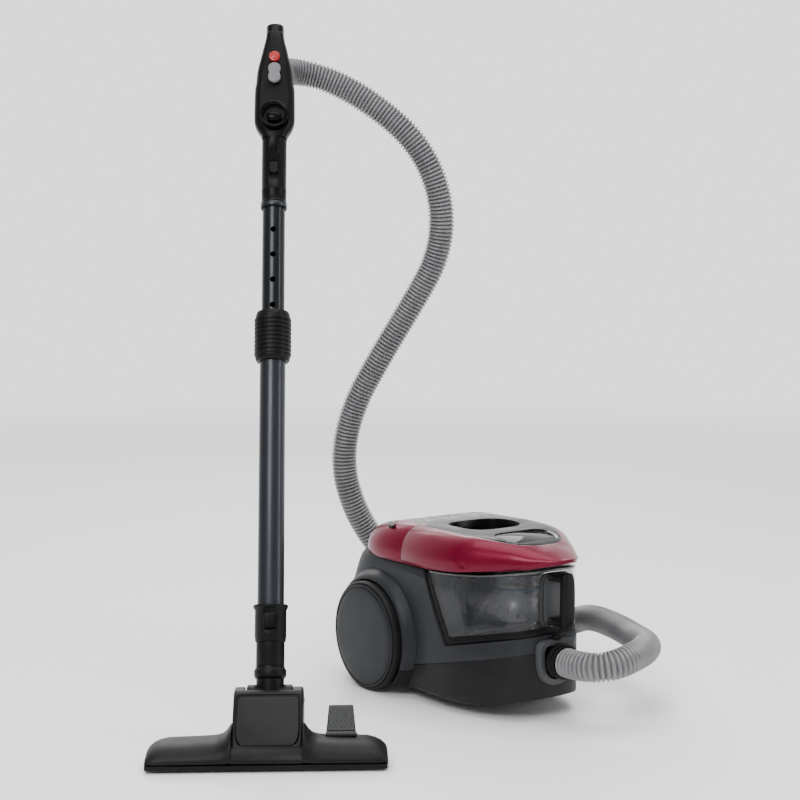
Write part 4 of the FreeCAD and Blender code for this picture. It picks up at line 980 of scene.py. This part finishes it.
def make_grip():
    """The handle: a swollen satin body, a pipe end, a gloss front shell and its keys."""
    stations = smooth_line([(750.5, 17.6, -17.4, 17.4), (757, 19.5, -17.4, 17.8), (766, 25, -17.3, 18.6),
        (776, 28.3, -17.2, 19.6), (790, 28.8, -17.0, 21), (812, 28.6, -16.8, 22), (828, 28.2, -16.7, 22.6),
        (836, 26.8, -16.7, 22.8), (852, 25.6, -16.6, 23), (864, 23.6, -16.4, 23), (878, 20.2, -16, 23),
        (890, 17.6, -15.4, 22), (900, 15.0, -14.4, 18.4), (908, 13.4, -13.2, 15.4), (914, 12.7, -12, 13.8)],
        3)
    rings = []
    for level, half, front, back in stations:
        middle, deep = (front + back) / 2, (back - front) / 2
        rings.append([(x, y + middle, level) for x, y in rounded(half, deep, 2.8, 64)])
    for grow, level in ((1.0, 916), (1.0, 926), (0.95, 927), (0.8, 927), (0.78, 920)):
        rings.append([(x * grow, y * grow + 1.0, level) for x, y in rounded(12.6, 12.0, 2.1, 64)])
    body = loft("grip_body", rings, WAND, "handle_plastic")
    carve(body, slab("seat", shell_outline(0.6), ((1, -34), (1, -13.8))))
    boss = lathe("boss", [(13, 8), (19.4, 8), (19.4, 24), (18.6, 31.6), (13, 31.8)], WAND @ HOSE_EXIT,
        "handle_plastic", hollow=True)
    belong(join("grip_shell", [body, boss]), "handle", "handle_grip", slot="handle_plastic")
    swivel = lathe("swivel_ring", [(13, 32.4), (20.6, 32.4), (21.6, 33.6), (22, 35.4), (22, 37.2), (21, 38),
        (21, 39.2), (22, 40), (22, 43), (21.4, 45.4), (20.6, 46), (13, 46)], WAND @ HOSE_EXIT, hollow=True)
    belong(swivel, "hose_swivel", "hose_swivel")
    front = []
    for inset, depth in ((0.3, -13.9), (0.3, -18.6), (1.0, -20.2), (2.6, -21.4), (6.0, -22.2)):
        front.append([(x, depth, z) for x, z in shell_outline(-inset)])
    shield = loft("front_shield", front, WAND, "dark_gloss", smooth_angle=60)
    keys = [(8.1, 8.1, 871), (8.1, 8.1, 854.5), (8.1, 8.1, 837.5), (5.3, 9.5, 846)]
    for half_x, half_z, centre in keys:
        carve(shield, slab("key_cut", rounded(half_x, half_z, 2, 40), ((1, -34), (1, -10)), centre))
    carve(shield, slab("slot_cut", rounded(11.6, 13.2, 3.2, 48), ((1, -34), (1, -16.4)), 783.5))
    bulge = lathe("slider_ring", [(15.2, 17), (19.5, 17.6), (20.4, 20), (20, 22.2), (18.6, 23),
        (16.6, 22.4), (15.2, 20.6)], WAND @ Matrix.Translation((0, 0, 782)) @ FORWARD, "dark_gloss",
        hollow=True)
    belong(join("grip_shield", [shield, bulge]), "handle", "handle_front_shell", slot="dark_gloss")
    dome = WAND @ Matrix.Translation((0, -17.2, 871)) @ FORWARD
    stop = lathe("stop_cap", [(0.3, 0), (7.6, 0), (7.6, 4.2), (7.0, 5.0), (5, 5.4), (3.6, 5.1), (2.6, 5.4),
        (0.3, 5.5)], dome, "red_key")
    belong(stop, "stop_key", "stop_key", slot="red_key")
    rocker = []
    for grow, depth in ((1.0, -17.3), (1.0, -21.2), (0.92, -22.1), (0.7, -22.4)):
        rocker.append([(x * grow, depth, z * (0.5 + grow / 2) + 846) for x, z in peanut()])
    belong(loft("speed_cap", rocker, WAND, "soft_grey"), "speed_rocker", "speed_rocker", slot="grey_key")
    steps = ((1.0, -16.9), (1.0, -20.0), (0.9, -22.0), (0.7, -23.4), (0.4, -24.0))
    knob = slab("slider_knob", rounded(10.8, 7.3, 2.4, 48), steps, 778.5, paint="dark_gloss")
    belong(knob, "relief_slider", "relief_slider", slot="grey_key")


def shell_outline(grow):
    """The gloss shell's front outline, wider by grow."""
    half = [(5.5, 914), (10, 903), (14, 888), (17, 868), (18.6, 845), (18.6, 812), (19.5, 798), (20, 784),
        (17, 770), (9, 760)]
    right = smooth_line(half, 4)
    right = [(x + grow, z + grow * (1 if z > 900 else -1 if z < 775 else 0)) for x, z in right]
    return right + [(-x, z) for x, z in reversed(right)]


def peanut():
    """Two joined lobes, a double key's outline."""
    points = []
    for step in range(64):
        angle = 2 * math.pi * step / 64
        radius = 15.0 - 8.6 * math.cos(angle) ** 2
        points.append((radius * math.cos(angle) * 1.15, radius * math.sin(angle)))
    return points


# ---------------------------------------------------------------- floor head

def make_head():
    """The floor head: wings and hub in one shell, panel, tray and sole."""
    section = eased([(0.4, 10), (0.4, 16), (8, 25.5), (22, 31), (50, 32), (65, 28.5), (71.6, 19),
        (71.6, 10)], 9, 4)
    rings = []
    for x, rise, draw in ((-150, 0.30, 5), (-149.4, 0.42, 3.5), (-147, 0.58, 2), (-142, 0.76, 0.8),
            (-135, 0.88, 0), (-126, 0.95, 0), (-110, 0.98, 0), (-80, 1.03, 0), (-64, 1.08, 0),
            (-56, 1.2, 0), (-51, 1.42, 0), (-47, 1.72, 0), (-44.5, 1.8, 0), (-43.6, 1.0, 0)):
        rings.append(head_ring(section, x, rise, draw))
    rings += [[(-x, y, z) for x, y, z in ring] for ring in reversed(rings)]
    wings = loft("head_wings", rings, HEAD, "head_plastic", smooth_angle=50)
    hub_line = eased([(10, 16), (13, 29), (66, 78.5), (76, 83), (98, 82), (127, 63), (130.5, 40), (127, 10),
        (30, 10)], 5, 4)
    hub = soften(side_prism("hub", hub_line, 44, HEAD, "head_plastic"), 3.0, 3, smooth_angle=40)
    combine(wings, hub, "UNION")
    room = side_prism("room", [(4, 5), (4, 16), (12, 24), (24, 28.4), (52, 29.2), (66, 24), (69, 5)], 124,
        HEAD)
    hub_room = side_prism("room", [(30, 5), (30, 24), (40, 42), (69, 71), (75, 72.5), (75, 5)], 40, HEAD)
    slot = block("slot", (-31, 31), (78, 145), (14, 100), HEAD, "head_plastic")
    seat = slope_block("seat", 40.6, 74, -2.6, 12, "head_plastic")
    gap = block("gap", (71.6, 112.4), (40, 70), (26, 62), HEAD, "head_plastic", 1.0)
    pockets = [block("pocket", (x - 4, x + 4), (101, 121), (0, 18), HEAD, "head_plastic") for x in (-38,
        38)]
    carve(wings, room, hub_room, slot, seat, gap, *pockets)
    belong(soften(wings, 0.5, 2, angle=40), "floor_head", "head_cover", slot="head_plastic")
    panel = slope_block("panel", 38.6, 69, -2.4, 1.2, "graphite_gloss", True)
    tray = block("pedal_tray", (70, 114), (39, 71.5), (22, 27), HEAD, "black_plastic", 1.0)
    belong(tray, "floor_head")
    belong(panel, "floor_head", "hub_panel", slot="dark_gloss")
    skirt_line = [(0.2, 9.6), (0.2, 4.6), (1.6, 3.4), (70, 3.4), (71.4, 4.6), (71.4, 9.6)]
    rings = []
    for x, draw in ((-149.6, 5), (-148, 2), (-144, 0), (144, 0), (148, 2), (149.6, 5)):
        shrink = 1 - draw / 40 - max(0.0, (abs(x) - 128) / 22) * 0.28
        rings.append([(x, 2 + (y - 2) * shrink + (draw * 0.4 if y < 10 else 0), z) for y, z in skirt_line])
    skirt = loft("sole_skirt", rings, HEAD)
    cuts = [block("cut", (-118, 118), (26, 40), (-5, 30), HEAD)]
    cuts += [block("cut", (-120.4, 120.4), (low, high), (-5, 30), HEAD) for low,
        high in ((11.6, 18.4), (49.6, 56.4))]
    carve(skirt, *cuts)
    feet = [block("runner", (x - 7, x + 7), (8, 62), (0.1, 4), HEAD, "silver_plastic", 1.2) for x in (-133,
        133)]
    tail = soften(block("tail", (-46, 46), (60, 128), (4, 10), HEAD), 1.2)
    carve(tail, *[block("cut", (x - 4, x + 4), (101, 121), (-5, 30), HEAD) for x in (-38, 38)])
    belong(join("sole", [skirt, tail] + feet), "floor_head", "sole_plate")
    make_pedal()
    make_bristles()
    make_elbow()


def head_ring(section, x, rise, draw):
    """The wings' section at one x, raised by rise and drawn in by draw."""
    back_cut = max(0.0, (abs(x) - 128) / 22) * 18
    ring = []
    for y, z in section:
        lift = 10 + (z - 10) * rise
        depth = y + draw * (1 - y / 36) if y < 36 else y - draw * (y / 36 - 1)
        if depth > 36:
            depth -= back_cut * (depth - 36) / 36
        ring.append((x, depth, lift))
    return ring


def slope_block(name, half, reach, low, high, paint, eased_top=False):
    """A plate on the hub's sloping face, from low to high above it, with rounded corners."""
    along_slope = Vector((0, 53, 49.5)).normalized()
    outward = Vector((0, -49.5, 53)).normalized()
    foot = Vector((0, 13, 29)) + along_slope * 1.5
    shape = [(-half, reach), (half, reach), (half + 1.0, 18), (half * 0.98, 8), (half * 0.86, 0),
        (-half * 0.86, 0), (-half * 0.98, 8), (-half - 1.0, 18)]
    rings = []
    levels = ((low, 0), (high - 1.2, 0), (high - 0.3, -0.7), (high, -2.4)) if eased_top else ((low, 0),
        (high, 0))
    for lift, grow in levels:
        ring = []
        for u, v in eased(shape, 7, 5):
            factor = 1 + grow / half
            place = foot + along_slope * ((v - reach / 2) * factor + reach / 2) + outward * lift
            ring.append((u * factor, place.y, place.z))
        rings.append(ring)
    return loft(name, rings, HEAD, paint)


def make_pedal():
    """The floor pedal: a tapered plate with rows of small diamonds."""
    slope = Vector((0, 38, 27)).normalized()
    up = Vector((0, -27, 38)).normalized()
    foot = Vector((92, 45, 29.6))
    across, rows = 36, 48
    points, faces = [], []
    for row in range(rows + 1):
        v = row / rows
        half = 19.3 - 3.6 * v
        for column in range(across + 1):
            u = 2 * column / across - 1
            edge = min(1.0, (1 - abs(u)) * 12, v * 10, (1 - v) * 12)
            diamond = abs(math.sin(u * 11 + v * 17)) * abs(math.sin(u * 11 - v * 17))
            lift = 2.2 + 0.9 * diamond * edge if v > 0.16 else 2.4
            lift -= 1.6 * (1 - min(1.0, (1 - abs(u)) * 14)) + (1.2 if 0.15 < v < 0.18 else 0)
            place = foot + slope * (1 + 49 * v) + up * lift
            points.append((place.x + u * half, place.y, place.z))
    wide = across + 1
    for row in range(rows):
        for column in range(across):
            start = row * wide + column
            faces.append((start, start + 1, start + wide + 1, start + wide))
    plate = build("pedal_plate", points, faces, HEAD, "grey_key", smooth_angle=25)
    solid = plate.modifiers.new("solid", "SOLIDIFY")
    solid.thickness = 3.4 * MM
    solid.offset = -1
    apply_modifiers(plate)
    barrel = lathe("barrel", [(0.4, 72.6), (3.1, 72.6), (3.5, 73), (3.5, 111), (3.1, 111.4), (0.4, 111.4)],
        HEAD @ Matrix.Translation((0, 48, 33)) @ ALONG_X, "grey_key")
    belong(join("pedal_key", [plate, barrel]), "pedal", "pedal", slot="grey_key")


def make_bristles():
    """Rows of short tufts on their lifting frame."""
    tufts = []
    for y in (13.2, 15.0, 16.8, 51.2, 53.0, 54.8):
        points, faces = [], []
        for step in range(117):
            x = -117 + 2 * step
            lean = 0.4 * math.sin(step * 1.7 + y)
            base = len(points)
            points += [(x - 0.7, y - 0.6, 10), (x + 0.7, y - 0.6, 10), (x + 0.7, y + 0.6, 10),
                (x - 0.7, y + 0.6, 10), (x + lean - 0.8, y - 0.7, 0.7), (x + lean + 0.8, y - 0.7, 0.7),
                (x + lean + 0.8, y + 0.7, 0.7), (x + lean - 0.8, y + 0.7, 0.7)]
            faces += [tuple(base + corner for corner in face) for face in ((0, 1, 2, 3), (7, 6, 5, 4),
                (0, 4, 5, 1), (1, 5, 6, 2), (2, 6, 7, 3), (3, 7, 4, 0))]
        tufts.append(build("tuft", points, faces, HEAD, "bristle"))
    bars = [block("bar", (-119.8, 119.8), (low, high), (9.6, 12.9), HEAD, "bristle", 0.5) for low,
        high in ((12.2, 17.8), (50.2, 55.8))]
    bars += [block("bar", (x - 2.8, x + 2.8), (12.2, 55.8), (10.5, 12.9), HEAD, "bristle",
        0.5) for x in (-117, 117)]
    belong(join("bristle_tufts", tufts + bars), "bristle_strips", "bristle_strips", slot="bristle")


def make_elbow():
    """The pivoting elbow: a barrel in the hub and a collar round the neck."""
    turn = WAND @ Matrix.Translation((0, 0, -29.6)) @ ALONG_X
    barrel = lathe("barrel", [(1, -29.8), (17, -29.8), (19.4, -28.6), (20, -27), (20, -18), (19.4, -17.4),
        (19.4, 17.4), (20, 18), (20, 27), (19.4, 28.6), (17, 29.8), (1, 29.8)], turn)
    neck = lathe("neck", [(13, -26), (18, -26), (18, -3), (19.4, -1.4), (20.8, 0.4), (21, 3), (21, 8),
        (20.4, 9.6), (19.2, 10.6), (18.7, 13.6), (13, 13.9)], WAND, hollow=True)
    belong(join("elbow_shell", [barrel, neck]), "elbow", "elbow")
    tube = lathe("neck_shell", [(15, 14.4), (18.2, 14.4), (18.5, 15), (18.5, 44.9), (15, 44.9)], WAND,
        hollow=True)
    belong(tube, "canister", "neck_tube")


PAINTS = make_paints()
make_camera()
make_studio()
make_hose()
make_casing()
make_cover()
make_bin()
make_inlet()
make_wheels()
make_wand()
make_grip()
make_head()

for _entry in frame["record"]["subparts"]:
    _node = frame["nodes"][_entry["node"]]
    if not _node.material_slots:
        _node.data.materials.append(None)
    for _place in _node.material_slots:
        _place.material = PAINTS[_entry["material_slot"]]
